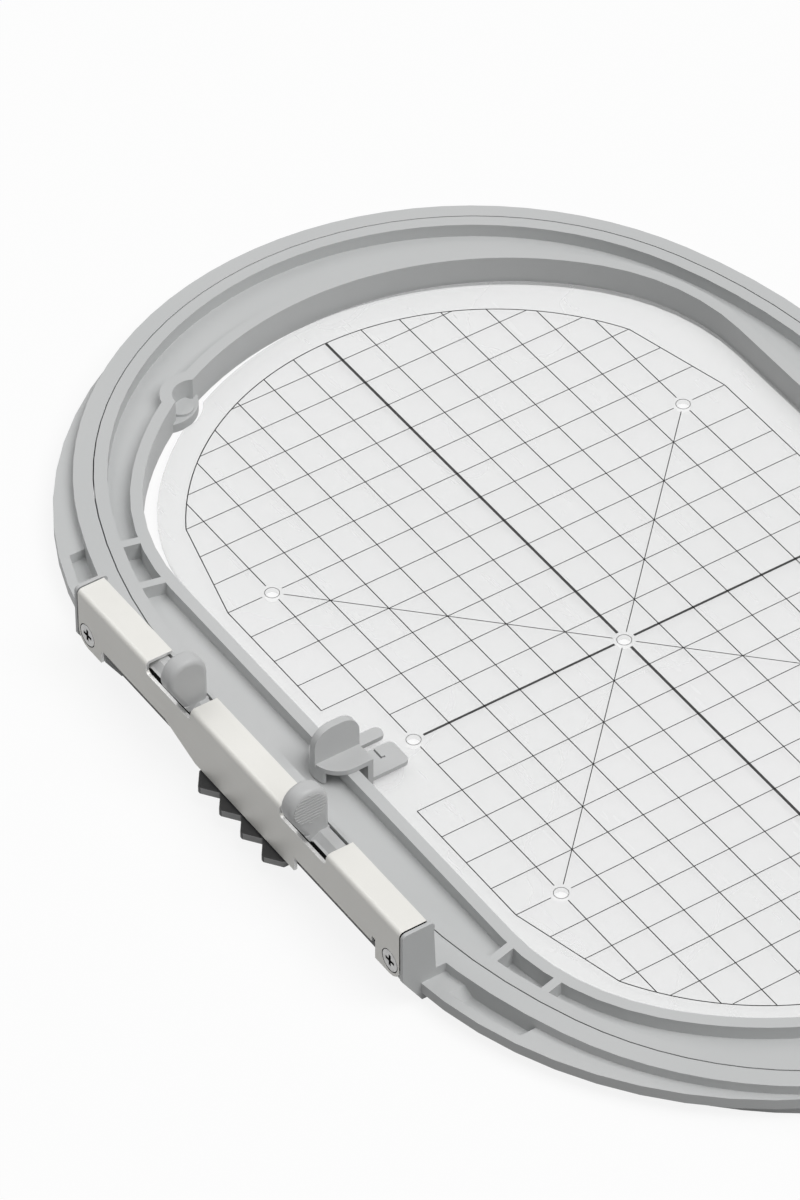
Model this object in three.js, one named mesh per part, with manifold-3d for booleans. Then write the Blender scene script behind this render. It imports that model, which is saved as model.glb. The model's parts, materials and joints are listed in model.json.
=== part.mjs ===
// Machine embroidery hoop: an outer hoop with a quick-release coupling, an inner hoop and a template.
// Millimetres, +Z up. The hoop's long axis runs along Y and the coupling lies on the -X side.
import * as THREE from 'three';
import { mergeVertices } from 'three/addons/utils/BufferGeometryUtils.js';
import Module from 'manifold-3d';

const wasm = await Module();
wasm.setup();

// Hoop section, heights measured from the table
const RIM_TOP = 8.8;
const OUTER_RIM = 5.0;
const RIM_SHIFT = 0.6;
const FLANGE_BOTTOM = 3.1;
const FLANGE_HEIGHT = 3.0;
const FLANGE_SHIFT = 3.5;
const FLANGE_REACH = 5.2;
const FLANGE_END_INSET = 2.0;
const HOOP_CLEARANCE = 0.15;

// Ovals: the open field inside the inner hoop, and the seam between the two hoops.
// The turn is the angle that a shoulder arc runs through before the end arc takes over.
const RING_SIDE = 15.2;
const RING_END = 18.6;
const FIELD = {
  halfWidth: 81.4,
  halfLength: 137.7,
  shoulder: 58,
  turn: THREE.MathUtils.degToRad(40.86),
};
const SEAM = {
  halfWidth: FIELD.halfWidth + RING_SIDE,
  halfLength: FIELD.halfLength + RING_END,
  shoulder: 150,
  turn: THREE.MathUtils.degToRad(22.47),
};

// Recesses in the outer hoop's flange beside the coupling
const RECESS_LIP = 1.4;
const RECESS_DEPTH = 2.4;
const RECESS_GAP = 5.9;
const RECESS_LENGTH = 19.7;
const RECESS_SLOPE = 2.4;

// Inner hoop: two rims with a channel between them
const SEAM_RIM = 3.4;
const FIELD_RIM = 3.0;
const CHANNEL_DEPTH = 3.7;
const POCKET_DEPTH = 4.9;
const POCKET_FROM_END = 75.3;
const POCKET_LENGTH = 12.8;
const POCKET_RIB = 2.2;
const POCKET_TILT = THREE.MathUtils.degToRad(13);

// Locating lobe on the field's edge
const LOBE_TURN = THREE.MathUtils.degToRad(29.6);
const LOBE_INSET = 2.6;
const LOBE_RECESS = 5.1;
const LOBE_WALL = 3.1;
const LEDGE_RADIUS = 8.8;
const LEDGE_REACH = 2.9;
const LEDGE_TOP = 2.6;
const LEDGE_MARGIN = 0.5;
const BUTTON_RADIUS = 3.3;
const BUTTON_RISE = 0.8;

// Template sheet
const TEMPLATE_BOTTOM = 0.1;
const TEMPLATE_THICKNESS = 1.4;
const TEMPLATE_CLEARANCE = 2.2;
const TEMPLATE_SHIFT_X = 1.85;
const TEMPLATE_SHIFT_Y = 0.9;
const MARK_SHIFT_X = -1.2;
const MARK_SHIFT_Y = 0.6;
const MARK_HOLE = 1.65;
const MARK_SIDE_INSET = 21.4;
const MARK_END_INSET = 77.7;

// Template grips, measured from the inner rim's inner face towards the field
const GRIP_FLANGE_IN = 4.0;
const GRIP_FLANGE_OUT = 8.1;
const GRIP_HALF_WIDTH = 6.9;
const GRIP_FLANGE = 1.4;
const GRIP_LEG = 1.5;
const GRIP_LEG_LIFT = 0.7;
const GRIP_SEAT_GAP = 0.1;
const GRIP_OUTER_LEG_HALF = 3.2;
const GRIP_LEG_FLOOR_GAP = 0.3;
const FIN_THICKNESS = 2.0;
const FIN_IN = 4.1;
const FIN_LENGTH = 12.4;
const FIN_HEIGHT = 9.6;
const FIN_ROUND = 5.0;
const FORK_LENGTH = 10.3;
const FORK_LIFT = 1.6;
const FORK_THICKNESS = 1.2;
const FORK_ROUND = 1.5;
const NEAR_PRONG = 4.15;
const FAR_PRONG = 3.6;
const TONGUE_WIDTH = 3.85;
const TONGUE_LENGTH = 4.95;
const SLIT_WIDTH = 0.5;
const SLIT_HOOK = 0.8;
const PEG_INSET = 1.0;
const PEG_LENGTH = 3.0;
const PEG_HALF = 1.0;
const PEG_SHOULDER = 0.7;
const PEG_SLOT_GAP = 0.3;

// Coupling housing, measured outwards from the outer hoop's rim
const WALL_BACK = 0.3;
const WALL_FRONT = 2.4;
const ROOT_REACH = 3.0;
const HOUSING_FOOT = 0.6;
const FOOT_FRONT = 4.0;
const FOOT_BACK = 1.0;
const CHIN_TOP = 9.0;
const SHOULDER_IN = 0.5;
const SHOULDER_DROP = 2.6;
const SHOULDER_ROUND = 1.3;
const BLOCK_LENGTH = 10.0;
const END_GAP = 0.4;
const END_CAP = 1.0;

// Code comb in front of the carrier, along Y from its first tooth
const COMB_BOTTOM = 5.1;
const COMB_THICKNESS = 2.0;
const COMB_GAP = 0.1;
const COMB_TOOTH = 3.0;
const COMB_PITCH = 8.9;
const COMB_TEETH = 4;
const COMB_FIRST = 15.15;
const COMB_TIP_FLAT = 0.7;

// Sheet cover over the coupling
const COVER_HALF = 67.2;
const COVER_FRONT = 9.3;
const COVER_TOP = 23.6;
const COVER_SHEET = 0.9;
const COVER_BEND = 1.4;
const COVER_LAP = 0.5;
const COVER_GAP = 0.1;
const COVER_LOW = 7.6;
const COVER_SHALLOW = 11.8;
const COVER_STEP_GAP = 4.05;
const COVER_RAMP_GAP = 1.85;
const COVER_RAMP = 13;
const COVER_LUG_LENGTH = 9.7;
const LUG_CORNER = 4;
const NOTCH_CORNER = 1.5;
const RELIEF_WIDTH = 1.4;
const RELIEF_DEPTH = 1.7;
const WINDOW_GAP = 0.2;
const WINDOW_REST = 11.9;
const WINDOW_DEPTH = 3.3;
const WINDOW_CORNER = 1.0;

// Screws that hold the cover
const COVER_SCREW_INSET = 3.8;
const COVER_SCREW_Z = 11.8;
const SCREW_HEAD = 2.9;
const SCREW_SHANK = 1.2;
const SCREW_SKIN = 1.6;
const SCREW_TIP_GAP = 0.3;
const SCREW_LAND = 0.1;
const SCREW_GAP = 0.2;
const CROSS_LENGTH = 3.4;
const CROSS_WIDTH = 0.8;
const CROSS_DEPTH = 1.0;

// Carrier under the mechanism, with a spring post and a gap for each coupling peg
const CARRIER_FRONT_GAP = 0.2;
const CARRIER_BACK_GAP = 0.1;
const CARRIER_BOTTOM = 8.8;
const CARRIER_THICKNESS = 2.0;
const CARRIER_END_GAP = 0.5;
const PEG_SPACE = 9.6;
const PEG_END_WALL = 4.7;
const PEG_FRONT_WALL = 0.8;
const POST_HALF = 3.5;
const POST_GAP = 0.9;
const CARRIER_SCREW_Y = 10;
const CARRIER_SCREW_SHANK = 1.0;
const CARRIER_SCREW_HEAD = 2.0;
const CARRIER_SCREW_HEAD_HEIGHT = 1.4;
const BOSS_HALF = 3;
const BOSS_HEIGHT = 3.1;
const BOSS_SKIN = 0.5;
const BOSS_COVER_GAP = 0.6;

// Release sliders
const SLIDER_FRONT_GAP = 0.6;
const SLIDER_BACK_GAP = 0.5;
const SLIDER_TOP_GAP = 0.5;
const SLIDER_PLATE = 2.4;
const SLIDER_SLOPE = 2.4;
const SLIDER_SLOPE_DROP = 1.7;
const SLIDER_SKIRT = 1.2;
const SLIDER_SKIRT_DROP = 1.4;
const SLIDER_UNDERLAP = 4.4;
const SLIDER_PEG_GAP = 0.4;
const SLIDER_TRAVEL = 2.2;
const STEM_INSET = 4;
const STEM_LENGTH = 8;
const TAB_FROM_UPPER = 21.0;
const TAB_FROM_LOWER = 24.6;
const TAB_THICKNESS = 4.7;
const TAB_RADIUS = 5.3;
const TAB_BACK_LAP = 0.35;
const TAB_RISE = 8.4;
const TAB_SWEEP = 1.2 * Math.PI;
const RIB_COUNT = 11;
const RIB_PITCH = 0.9;
const RIB_WIDTH = 0.45;
const RIB_PROUD = 0.2;

// Latch plates and springs
const LATCH_TAIL = 0.5;
const LATCH_CATCH = 1.6;
const LATCH_SHEET = 1.4;
const LATCH_FLOAT = 0.4;
const LATCH_BEVEL = 1.6;
const LATCH_LIP = 0.6;
const RIVET_RADIUS = 0.9;
const RIVET_GAP = 0.15;
const RIVET_INSET = 2;
const SPRING_RADIUS = 1.7;
const SPRING_WIRE = 0.5;
const SPRING_TURNS = 12;
const SPRING_SEAT_GAP = 0.1;

// Clamp across the split in the outer hoop
const SPLIT_GAP = 3;
const LUG_WIDTH = 10;
const LUG_SKIN = 5.5;
const LUG_COVER = 6;
const LUG_FOOT = 0.6;
const LUG_ROUND = 3;
const CLAMP_SHANK = 2.0;
const CLAMP_GAP = 0.15;
const NUT_FLATS = 7;
const NUT_HEIGHT = 3.2;
const NUT_GAP = 0.15;
const WASHER_RADIUS = 4.5;
const WASHER_THICKNESS = 1.0;
const KNOB_RADIUS = 6.5;
const KNOB_HOOP_GAP = 0.7;
const KNOB_TABLE_GAP = 1.5;
const KNOB_LENGTH = 15;
const KNOB_FACE = 4;
const KNOB_FLUTES = 12;
const FLUTE_STEPS = 4;
const KNOB_FLUTE_DEPTH = 0.5;
const KNOB_EDGE = 0.8;
const SHANK_OVERRUN = 2;

// Facet counts and overlap used where bodies are joined or cut
const END_STEPS = 32;
const SHOULDER_STEPS = 6;
const ROUND_STEPS = 32;
const SMALL_STEPS = 16;
const CORNER_STEPS = 4;
const PAST = 1;

// Places and sizes that follow from the ones above
const FLANGE_TOP = FLANGE_BOTTOM + FLANGE_HEIGHT;
const FLANGE_RADIUS = SEAM.halfWidth + OUTER_RIM + FLANGE_REACH - FLANGE_SHIFT;
const FLANGE_CENTRE = SEAM.halfLength + OUTER_RIM - FLANGE_END_INSET - FLANGE_RADIUS;
const CHANNEL_FLOOR = RIM_TOP - CHANNEL_DEPTH;
const POCKET_FLOOR = RIM_TOP - POCKET_DEPTH;
const POCKET_AT = SEAM.halfLength - POCKET_FROM_END;
const TEMPLATE_TOP = TEMPLATE_BOTTOM + TEMPLATE_THICKNESS;
const FORK_BOTTOM = TEMPLATE_TOP + FORK_LIFT;
const FORK_TOP = FORK_BOTTOM + FORK_THICKNESS;
const FORK_TIP = GRIP_FLANGE_IN + FORK_LENGTH;
const TONGUE_NEAR = NEAR_PRONG - GRIP_HALF_WIDTH;
const TONGUE_FAR = TONGUE_NEAR + TONGUE_WIDTH;
const MARK_X = FIELD.halfWidth - MARK_SIDE_INSET;
const MARK_Y = FIELD.halfLength - MARK_END_INSET;
const BAR_X = -(SEAM.halfWidth + OUTER_RIM);
const HOUSING_ROOT = OUTER_RIM + ROOT_REACH;
const BLOCK_FROM = COVER_HALF - BLOCK_LENGTH;
const CAP_END = COVER_HALF + END_GAP + END_CAP;
const RECESS_FLOOR = FLANGE_TOP - RECESS_DEPTH;
const RECESS_FROM = CAP_END + RECESS_GAP;
const RECESS_TO = RECESS_FROM + RECESS_LENGTH;
const COVER_BACK = WALL_FRONT - COVER_LAP;
const COVER_INSIDE = COVER_FRONT - COVER_SHEET;
const COVER_LUG = COVER_HALF - COVER_LUG_LENGTH;
const COVER_SCREW_Y = COVER_HALF - COVER_SCREW_INSET;
const SCREW_LENGTH = COVER_FRONT - WALL_BACK - SCREW_SKIN - SCREW_TIP_GAP;
const COMB_TOP = COMB_BOTTOM + COMB_THICKNESS;
const COMB_VALLEY = COVER_FRONT + COMB_GAP;
const COMB_LAST = COMB_FIRST - COMB_TEETH * COMB_PITCH;
const CARRIER_FRONT = COVER_INSIDE - CARRIER_FRONT_GAP;
const CARRIER_TOP = CARRIER_BOTTOM + CARRIER_THICKNESS;
const PEG_SPACE_TO = BLOCK_FROM - CARRIER_END_GAP - PEG_END_WALL;
const PEG_SPACE_FROM = PEG_SPACE_TO - PEG_SPACE;
const PEG_SPACE_FRONT = CARRIER_FRONT - PEG_FRONT_WALL;
const MECHANISM_X = -(WALL_FRONT + COVER_INSIDE) / 2;
const LATCH_BOTTOM = CARRIER_TOP + LATCH_FLOAT;
const LATCH_TOP = LATCH_BOTTOM + LATCH_SHEET;
const LATCH_TO = PEG_SPACE_FROM + LATCH_CATCH;
const SLIDER_FRONT = COVER_INSIDE - SLIDER_FRONT_GAP;
const SLIDER_BACK = WALL_FRONT + SLIDER_BACK_GAP;
const SLIDER_TOP = COVER_TOP - COVER_SHEET - SLIDER_TOP_GAP;
const SLIDER_LOW = SLIDER_TOP - SLIDER_PLATE;
const SLIDER_TO = PEG_SPACE_FROM - SLIDER_PEG_GAP;
const STEM_TO = SLIDER_TO - STEM_INSET;
const STEM_FROM = STEM_TO - STEM_LENGTH;
const LATCH_FROM = STEM_FROM - LATCH_TAIL;
const TAB_CENTRE = SLIDER_BACK + TAB_RADIUS - TAB_BACK_LAP;
const WINDOW_FROM = TAB_FROM_UPPER - SLIDER_TRAVEL - WINDOW_GAP;
const WINDOW_TO = TAB_FROM_UPPER + TAB_THICKNESS + WINDOW_REST;
const WINDOW_SILL = COVER_TOP - WINDOW_DEPTH;
const SLIDER_FROM = WINDOW_FROM - SLIDER_UNDERLAP;
const POST_TOP = SLIDER_LOW - POST_GAP;
const SPRING_Z = (LATCH_TOP + SLIDER_LOW) / 2;
const CLAMP_OUT = KNOB_RADIUS + KNOB_HOOP_GAP;
const CLAMP_Y = -(SEAM.halfLength + OUTER_RIM + CLAMP_OUT);
const CLAMP_Z = KNOB_RADIUS + KNOB_TABLE_GAP;
const LUG_REACH = CLAMP_OUT + LUG_SKIN;
const LUG_TOP = CLAMP_Z + LUG_COVER;
const KNOB_SOCKET = KNOB_LENGTH - KNOB_FACE;
const SIDES = [
  { side: 1, name: 'upper', tabFrom: TAB_FROM_UPPER },
  { side: -1, name: 'lower', tabFrom: TAB_FROM_LOWER },
];

// Materials
function finish(color, roughness, metalness = 0) {
  return new THREE.MeshStandardMaterial({ color, roughness, metalness });
}

function hoopPlastic() {
  return finish(0xc3c5c7, 0.55);
}

function gripPlastic() {
  return finish(0xb4b6b8, 0.5);
}

function clearSheet() {
  const sheet = finish(0xeceeef, 0.25);
  sheet.transparent = true;
  sheet.opacity = 0.55;
  return sheet;
}

function coatedSteel() {
  return finish(0xd9d8d2, 0.35, 0.3);
}

function blackPlastic() {
  return finish(0x2d2d2f, 0.5);
}

function brightSteel() {
  return finish(0xc9cacb, 0.3, 0.9);
}

// Conversions between three.js geometry and boolean bodies
function bodyOf(geometry) {
  const plain = geometry.clone();
  plain.deleteAttribute('normal');
  plain.deleteAttribute('uv');
  const merged = mergeVertices(plain, 1e-4);
  return new wasm.Manifold(new wasm.Mesh({
    numProp: 3,
    vertProperties: new Float32Array(merged.attributes.position.array),
    triVerts: new Uint32Array(merged.index.array),
  }));
}

function geometryOf(body) {
  const { vertProperties, triVerts } = body.getMesh();
  const geometry = new THREE.BufferGeometry();
  geometry.setAttribute('position', new THREE.BufferAttribute(vertProperties, 3));
  geometry.setIndex(new THREE.BufferAttribute(triVerts, 1));
  geometry.computeVertexNormals();
  return geometry;
}

function part(name, body, material) {
  const mesh = new THREE.Mesh(geometryOf(body), material);
  mesh.name = name;
  return mesh;
}

// Outlines
function point(x, y) {
  return new THREE.Vector2(x, y);
}

function arc(x, y, radius, from, to, steps) {
  const points = [];
  for (let i = 0; i <= steps; i += 1) {
    const angle = from + ((to - from) * i) / steps;
    points.push(point(x + radius * Math.cos(angle), y + radius * Math.sin(angle)));
  }
  return points;
}

function circle(x, y, radius, steps) {
  return arc(x, y, radius, 0, 2 * Math.PI * (1 - 1 / steps), steps - 1);
}

// End arc of an oval, which the shoulder arc runs into tangentially
function endArc({ halfWidth, halfLength, shoulder, turn }) {
  const radius = shoulder - (shoulder - halfWidth) / Math.cos(turn);
  return { radius, centre: halfLength - radius };
}

// Straight sides, shoulder arcs and end arcs
function oval(spec, offset = 0) {
  const { halfWidth, shoulder, turn } = spec;
  const { radius, centre } = endArc(spec);
  const straight = centre - (shoulder - radius) * Math.sin(turn);
  const quarter = [
    ...arc(halfWidth - shoulder, straight, shoulder + offset, 0, turn, SHOULDER_STEPS).slice(0, -1),
    ...arc(0, centre, radius + offset, turn, Math.PI / 2, END_STEPS / 2),
  ];
  const half = [...quarter, ...quarter.slice(0, -1).reverse().map((p) => point(-p.x, p.y))];
  return [...half, ...half.map((p) => point(-p.x, -p.y))];
}

// The outer hoop's rim and flange are both wider on the coupling's side
function rimOutline() {
  return oval(SEAM, OUTER_RIM - RIM_SHIFT).map((p) => point(p.x - RIM_SHIFT, p.y));
}

function flangeOutline(inset) {
  const radius = FLANGE_RADIUS - inset;
  return [
    ...arc(-FLANGE_SHIFT, FLANGE_CENTRE, radius, 0, Math.PI, END_STEPS),
    ...arc(-FLANGE_SHIFT, -FLANGE_CENTRE, radius, Math.PI, 2 * Math.PI, END_STEPS),
  ];
}

function mirrored(points, side) {
  return side > 0 ? points : points.map((p) => point(-p.x, p.y)).reverse();
}

// Prisms along each axis and other simple bodies
function prism(points, depth, holes = []) {
  const shape = new THREE.Shape(points);
  shape.holes = holes.map((hole) => new THREE.Path(hole));
  return new THREE.ExtrudeGeometry(shape, { depth, bevelEnabled: false });
}

function prismZ(points, z0, z1, holes = []) {
  return bodyOf(prism(points, z1 - z0, holes).translate(0, 0, z0));
}

// Outline in X and Z
function prismY(points, y0, y1) {
  return bodyOf(prism(points, y1 - y0).rotateX(Math.PI / 2).translate(0, y1, 0));
}

// Outline in Y and Z
function prismX(points, x0, x1) {
  const toX = new THREE.Matrix4().makeBasis(
    new THREE.Vector3(0, 1, 0),
    new THREE.Vector3(0, 0, 1),
    new THREE.Vector3(1, 0, 0),
  );
  return bodyOf(prism(points, x1 - x0).applyMatrix4(toX).translate(x0, 0, 0));
}

function box(x0, x1, y0, y1, z0, z1) {
  const block = new THREE.BoxGeometry(x1 - x0, y1 - y0, z1 - z0);
  return bodyOf(block.translate((x0 + x1) / 2, (y0 + y1) / 2, (z0 + z1) / 2));
}

function sidePrismY(side, points, y0, y1) {
  return prismY(points, Math.min(side * y0, side * y1), Math.max(side * y0, side * y1));
}

function sideBox(side, x0, x1, y0, y1, z0, z1) {
  return box(x0, x1, Math.min(side * y0, side * y1), Math.max(side * y0, side * y1), z0, z1);
}

// Turned body whose profile holds a radius and a distance along +X
function turnedX(profile, steps) {
  const lathe = new THREE.LatheGeometry(profile.map(([r, h]) => point(r, h)), steps);
  return bodyOf(lathe.rotateZ(-Math.PI / 2));
}

// Turned body whose profile holds a radius and a distance along +Z
function turnedZ(profile, steps) {
  const lathe = new THREE.LatheGeometry(profile.map(([r, h]) => point(r, h)), steps);
  return bodyOf(lathe.rotateX(Math.PI / 2));
}

// Outer hoop
function hoopRing() {
  const inside = oval(SEAM, HOOP_CLEARANCE);
  const rim = prismZ(rimOutline(), 0, RIM_TOP, [inside]);
  const overlap = oval(SEAM, OUTER_RIM / 2);
  const plate = prismZ(flangeOutline(0), FLANGE_BOTTOM, FLANGE_TOP);
  const flange = plate.subtract(prismZ(overlap, FLANGE_BOTTOM - PAST, FLANGE_TOP + PAST));
  const underCover = box(
    -FLANGE_SHIFT - FLANGE_RADIUS - PAST,
    BAR_X - WALL_FRONT,
    -BLOCK_FROM,
    BLOCK_FROM,
    FLANGE_BOTTOM - PAST,
    FLANGE_TOP + PAST,
  );
  return rim.add(flange.subtract(underCover));
}

function flangeRecess(side) {
  const area = prismZ(flangeOutline(RECESS_LIP), RECESS_FLOOR, FLANGE_TOP + PAST);
  const rim = prismZ(rimOutline(), RECESS_FLOOR - PAST, RIM_TOP);
  const rise = (FLANGE_TOP + PAST - RECESS_FLOOR) / (FLANGE_TOP - RECESS_FLOOR);
  const trough = [
    point(RECESS_FROM + RECESS_SLOPE, RECESS_FLOOR),
    point(RECESS_TO - RECESS_SLOPE, RECESS_FLOOR),
    point(RECESS_TO - RECESS_SLOPE + RECESS_SLOPE * rise, FLANGE_TOP + PAST),
    point(RECESS_FROM + RECESS_SLOPE - RECESS_SLOPE * rise, FLANGE_TOP + PAST),
  ];
  const span = prismX(mirrored(trough, side), -FLANGE_SHIFT - FLANGE_RADIUS, 0);
  return area.subtract(rim).intersect(span);
}

function backWall() {
  const top = COVER_TOP - COVER_SHEET - COVER_GAP;
  const outline = [
    point(-WALL_FRONT, FLANGE_BOTTOM + PAST),
    point(HOUSING_ROOT, FLANGE_BOTTOM + PAST),
    point(HOUSING_ROOT, RIM_TOP),
    point(-WALL_BACK, RIM_TOP),
    point(-WALL_BACK - SHOULDER_IN, COVER_TOP - SHOULDER_DROP),
    point(-COVER_BACK + SHOULDER_IN, top),
    point(-WALL_FRONT, top),
  ];
  return prismY(outline, -BLOCK_FROM - PAST, BLOCK_FROM + PAST);
}

function endBlock(side) {
  const inside = COVER_SHEET + COVER_GAP;
  const slope = (CHIN_TOP - HOUSING_FOOT) / (COVER_FRONT - FOOT_FRONT);
  const front = -(COVER_FRONT - inside);
  const top = COVER_TOP - inside;
  const outline = [
    point(front, CHIN_TOP - inside * slope),
    point(-FOOT_FRONT, HOUSING_FOOT),
    point(-FOOT_BACK, HOUSING_FOOT),
    point(HOUSING_ROOT, FLANGE_BOTTOM + PAST),
    point(HOUSING_ROOT, RIM_TOP),
    point(-WALL_BACK, RIM_TOP),
    point(-WALL_BACK - SHOULDER_IN, COVER_TOP - SHOULDER_DROP),
    point(-COVER_BACK + SHOULDER_IN, top),
    point(front + COVER_BEND, top),
    point(front, top - COVER_BEND),
  ];
  return sidePrismY(side, outline, BLOCK_FROM, CAP_END - END_CAP / 2);
}

function endCap(side) {
  const outline = [
    point(-COVER_FRONT, CHIN_TOP),
    point(-FOOT_FRONT, HOUSING_FOOT),
    point(-FOOT_BACK, HOUSING_FOOT),
    point(HOUSING_ROOT, FLANGE_BOTTOM + PAST),
    point(HOUSING_ROOT, RIM_TOP),
    point(-WALL_BACK, RIM_TOP),
    point(-WALL_BACK - SHOULDER_IN, COVER_TOP - SHOULDER_DROP),
    ...arc(-COVER_BACK, COVER_TOP - SHOULDER_ROUND, SHOULDER_ROUND, 0, Math.PI / 2, CORNER_STEPS),
    ...arc(COVER_BEND - COVER_FRONT, COVER_TOP - COVER_BEND, COVER_BEND, Math.PI / 2, Math.PI, CORNER_STEPS),
  ];
  return sidePrismY(side, outline, COVER_HALF + END_GAP, CAP_END);
}

function screwBoss(side) {
  const front = -(COVER_INSIDE - BOSS_COVER_GAP);
  const near = CARRIER_SCREW_Y - BOSS_HALF;
  const far = CARRIER_SCREW_Y + BOSS_HALF;
  return sideBox(side, front, -WALL_BACK - PAST, near, far, CARRIER_TOP, CARRIER_TOP + BOSS_HEIGHT);
}

function clampLug(side) {
  const near = SPLIT_GAP / 2;
  const far = near + LUG_WIDTH;
  const root = -(SEAM.halfLength + OUTER_RIM / 2);
  const out = -(SEAM.halfLength + OUTER_RIM + LUG_REACH);
  const outline = [
    point(near, root),
    point(near, out),
    ...arc(far - LUG_ROUND, out + LUG_ROUND, LUG_ROUND, -Math.PI / 2, 0, CORNER_STEPS),
    point(far, root),
  ];
  return prismZ(mirrored(outline, side), LUG_FOOT, LUG_TOP);
}

function clampHole() {
  const reach = SPLIT_GAP / 2 + LUG_WIDTH + PAST;
  const radius = CLAMP_SHANK + CLAMP_GAP;
  return prismX(circle(CLAMP_Y, CLAMP_Z, radius, ROUND_STEPS), -reach, reach);
}

function nutPocket() {
  const face = -(SPLIT_GAP / 2 + LUG_WIDTH);
  const corner = NUT_FLATS / Math.sqrt(3) + NUT_GAP;
  return prismX(circle(CLAMP_Y, CLAMP_Z, corner, 6), face - PAST, face + NUT_HEIGHT + NUT_GAP);
}

function outerHoop() {
  let housing = backWall();
  for (const { side } of SIDES) {
    const length = SCREW_LENGTH + SCREW_TIP_GAP;
    housing = housing.add(endBlock(side)).add(endCap(side)).add(screwBoss(side));
    housing = housing.subtract(coverScrewBody(SCREW_GAP, length).translate(coverScrewPlace(side)));
    housing = housing.subtract(carrierScrewBody(SCREW_GAP).translate(carrierScrewPlace(side)));
  }
  let hoop = hoopRing().add(housing.translate([BAR_X, 0, 0]));
  for (const { side } of SIDES) {
    hoop = hoop.subtract(flangeRecess(side)).add(clampLug(side));
  }
  const slot = box(
    -SPLIT_GAP / 2,
    SPLIT_GAP / 2,
    CLAMP_Y - LUG_REACH,
    -SEAM.halfLength + PAST,
    -PAST,
    LUG_TOP + PAST,
  );
  const seam = prismZ(oval(SEAM, HOOP_CLEARANCE), -PAST, LUG_TOP + PAST);
  hoop = hoop.subtract(seam).subtract(slot).subtract(clampHole()).subtract(nutPocket());
  return part('outer_hoop', hoop, hoopPlastic());
}

// Inner hoop
function channelSpace(z0) {
  return prismZ(oval(SEAM, -SEAM_RIM), z0, RIM_TOP + PAST, [oval(FIELD, FIELD_RIM)]);
}

function pocketSpan(side, length) {
  const middle = (SEAM.halfWidth - SEAM_RIM + FIELD.halfWidth + FIELD_RIM) / 2;
  const span = box(-RING_SIDE, RING_SIDE, -length / 2, length / 2, 0, RIM_TOP + 2 * PAST);
  const turn = -THREE.MathUtils.radToDeg(POCKET_TILT) * side;
  return span.rotate([0, 0, turn]).translate([-middle, side * POCKET_AT, 0]);
}

// Circle on the lobe's radial line, with its centre that far inside the field's edge
function lobeCircle(inset, radius) {
  const end = endArc(FIELD);
  const reach = end.radius - inset;
  const x = -reach * Math.sin(LOBE_TURN);
  const y = end.centre + reach * Math.cos(LOBE_TURN);
  return circle(x, y, radius, ROUND_STEPS);
}

function innerHoop() {
  let channel = channelSpace(CHANNEL_FLOOR);
  for (const { side } of SIDES) {
    const pocket = channelSpace(POCKET_FLOOR).intersect(pocketSpan(side, POCKET_LENGTH));
    const ribs = pocketSpan(side, POCKET_LENGTH + 2 * POCKET_RIB);
    channel = channel.subtract(ribs).add(pocket);
  }
  const top = RIM_TOP + 2 * PAST;
  const lobe = prismZ(lobeCircle(LOBE_INSET, LOBE_RECESS + LOBE_WALL), -PAST, top);
  const recess = prismZ(lobeCircle(LOBE_INSET, LOBE_RECESS), 0, top);
  const ledge = prismZ(lobeCircle(LEDGE_REACH - LEDGE_RADIUS, LEDGE_RADIUS), 0, LEDGE_TOP);
  const buttonInset = LEDGE_REACH - LEDGE_MARGIN - BUTTON_RADIUS;
  const button = prismZ(lobeCircle(buttonInset, BUTTON_RADIUS), 0, LEDGE_TOP + BUTTON_RISE);
  const field = prismZ(oval(FIELD), -PAST, top);
  const blank = prismZ(oval(SEAM, -HOOP_CLEARANCE), 0, RIM_TOP);
  const ring = blank.subtract(field).subtract(channel.subtract(lobe));
  return part('inner_hoop', ring.subtract(recess).add(ledge).add(button), hoopPlastic());
}

// Template sheet with marking holes, a slot for each grip and a notch round the lobe's ledge
function template() {
  const outline = oval(FIELD, -TEMPLATE_CLEARANCE);
  const shifted = outline.map((p) => point(p.x + TEMPLATE_SHIFT_X, p.y + TEMPLATE_SHIFT_Y));
  let sheet = prismZ(shifted, TEMPLATE_BOTTOM, TEMPLATE_TOP);
  for (const column of [-1, 0, 1]) {
    const rows = column === 0 ? [0] : [-1, 0, 1];
    for (const row of rows) {
      const x = MARK_SHIFT_X + column * MARK_X;
      const y = MARK_SHIFT_Y + row * MARK_Y;
      sheet = sheet.subtract(prismZ(circle(x, y, MARK_HOLE, SMALL_STEPS), -PAST, TEMPLATE_TOP + PAST));
    }
  }
  for (const side of [1, -1]) {
    const peg = gripPeg(PEG_SLOT_GAP, -PAST, TEMPLATE_TOP + PAST);
    const turned = side > 0 ? peg : peg.rotate([0, 0, 180]);
    sheet = sheet.subtract(turned.translate([-side * FIELD.halfWidth, 0, 0]));
  }
  const notch = lobeCircle(LEDGE_REACH - LEDGE_RADIUS, LEDGE_RADIUS + TEMPLATE_CLEARANCE / 2);
  sheet = sheet.subtract(prismZ(notch, -PAST, TEMPLATE_TOP + PAST));
  return part('template', sheet, clearSheet());
}

// Template grip, with x = 0 on the inner rim's inner face and +X towards the field
function gripPeg(gap, z0, z1) {
  const tip = FORK_TIP - PEG_INSET;
  const middle = (TONGUE_NEAR + TONGUE_FAR) / 2;
  const half = PEG_HALF + gap;
  return box(tip - PEG_LENGTH - gap, tip + gap, middle - half, middle + half, z0, z1);
}

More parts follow.
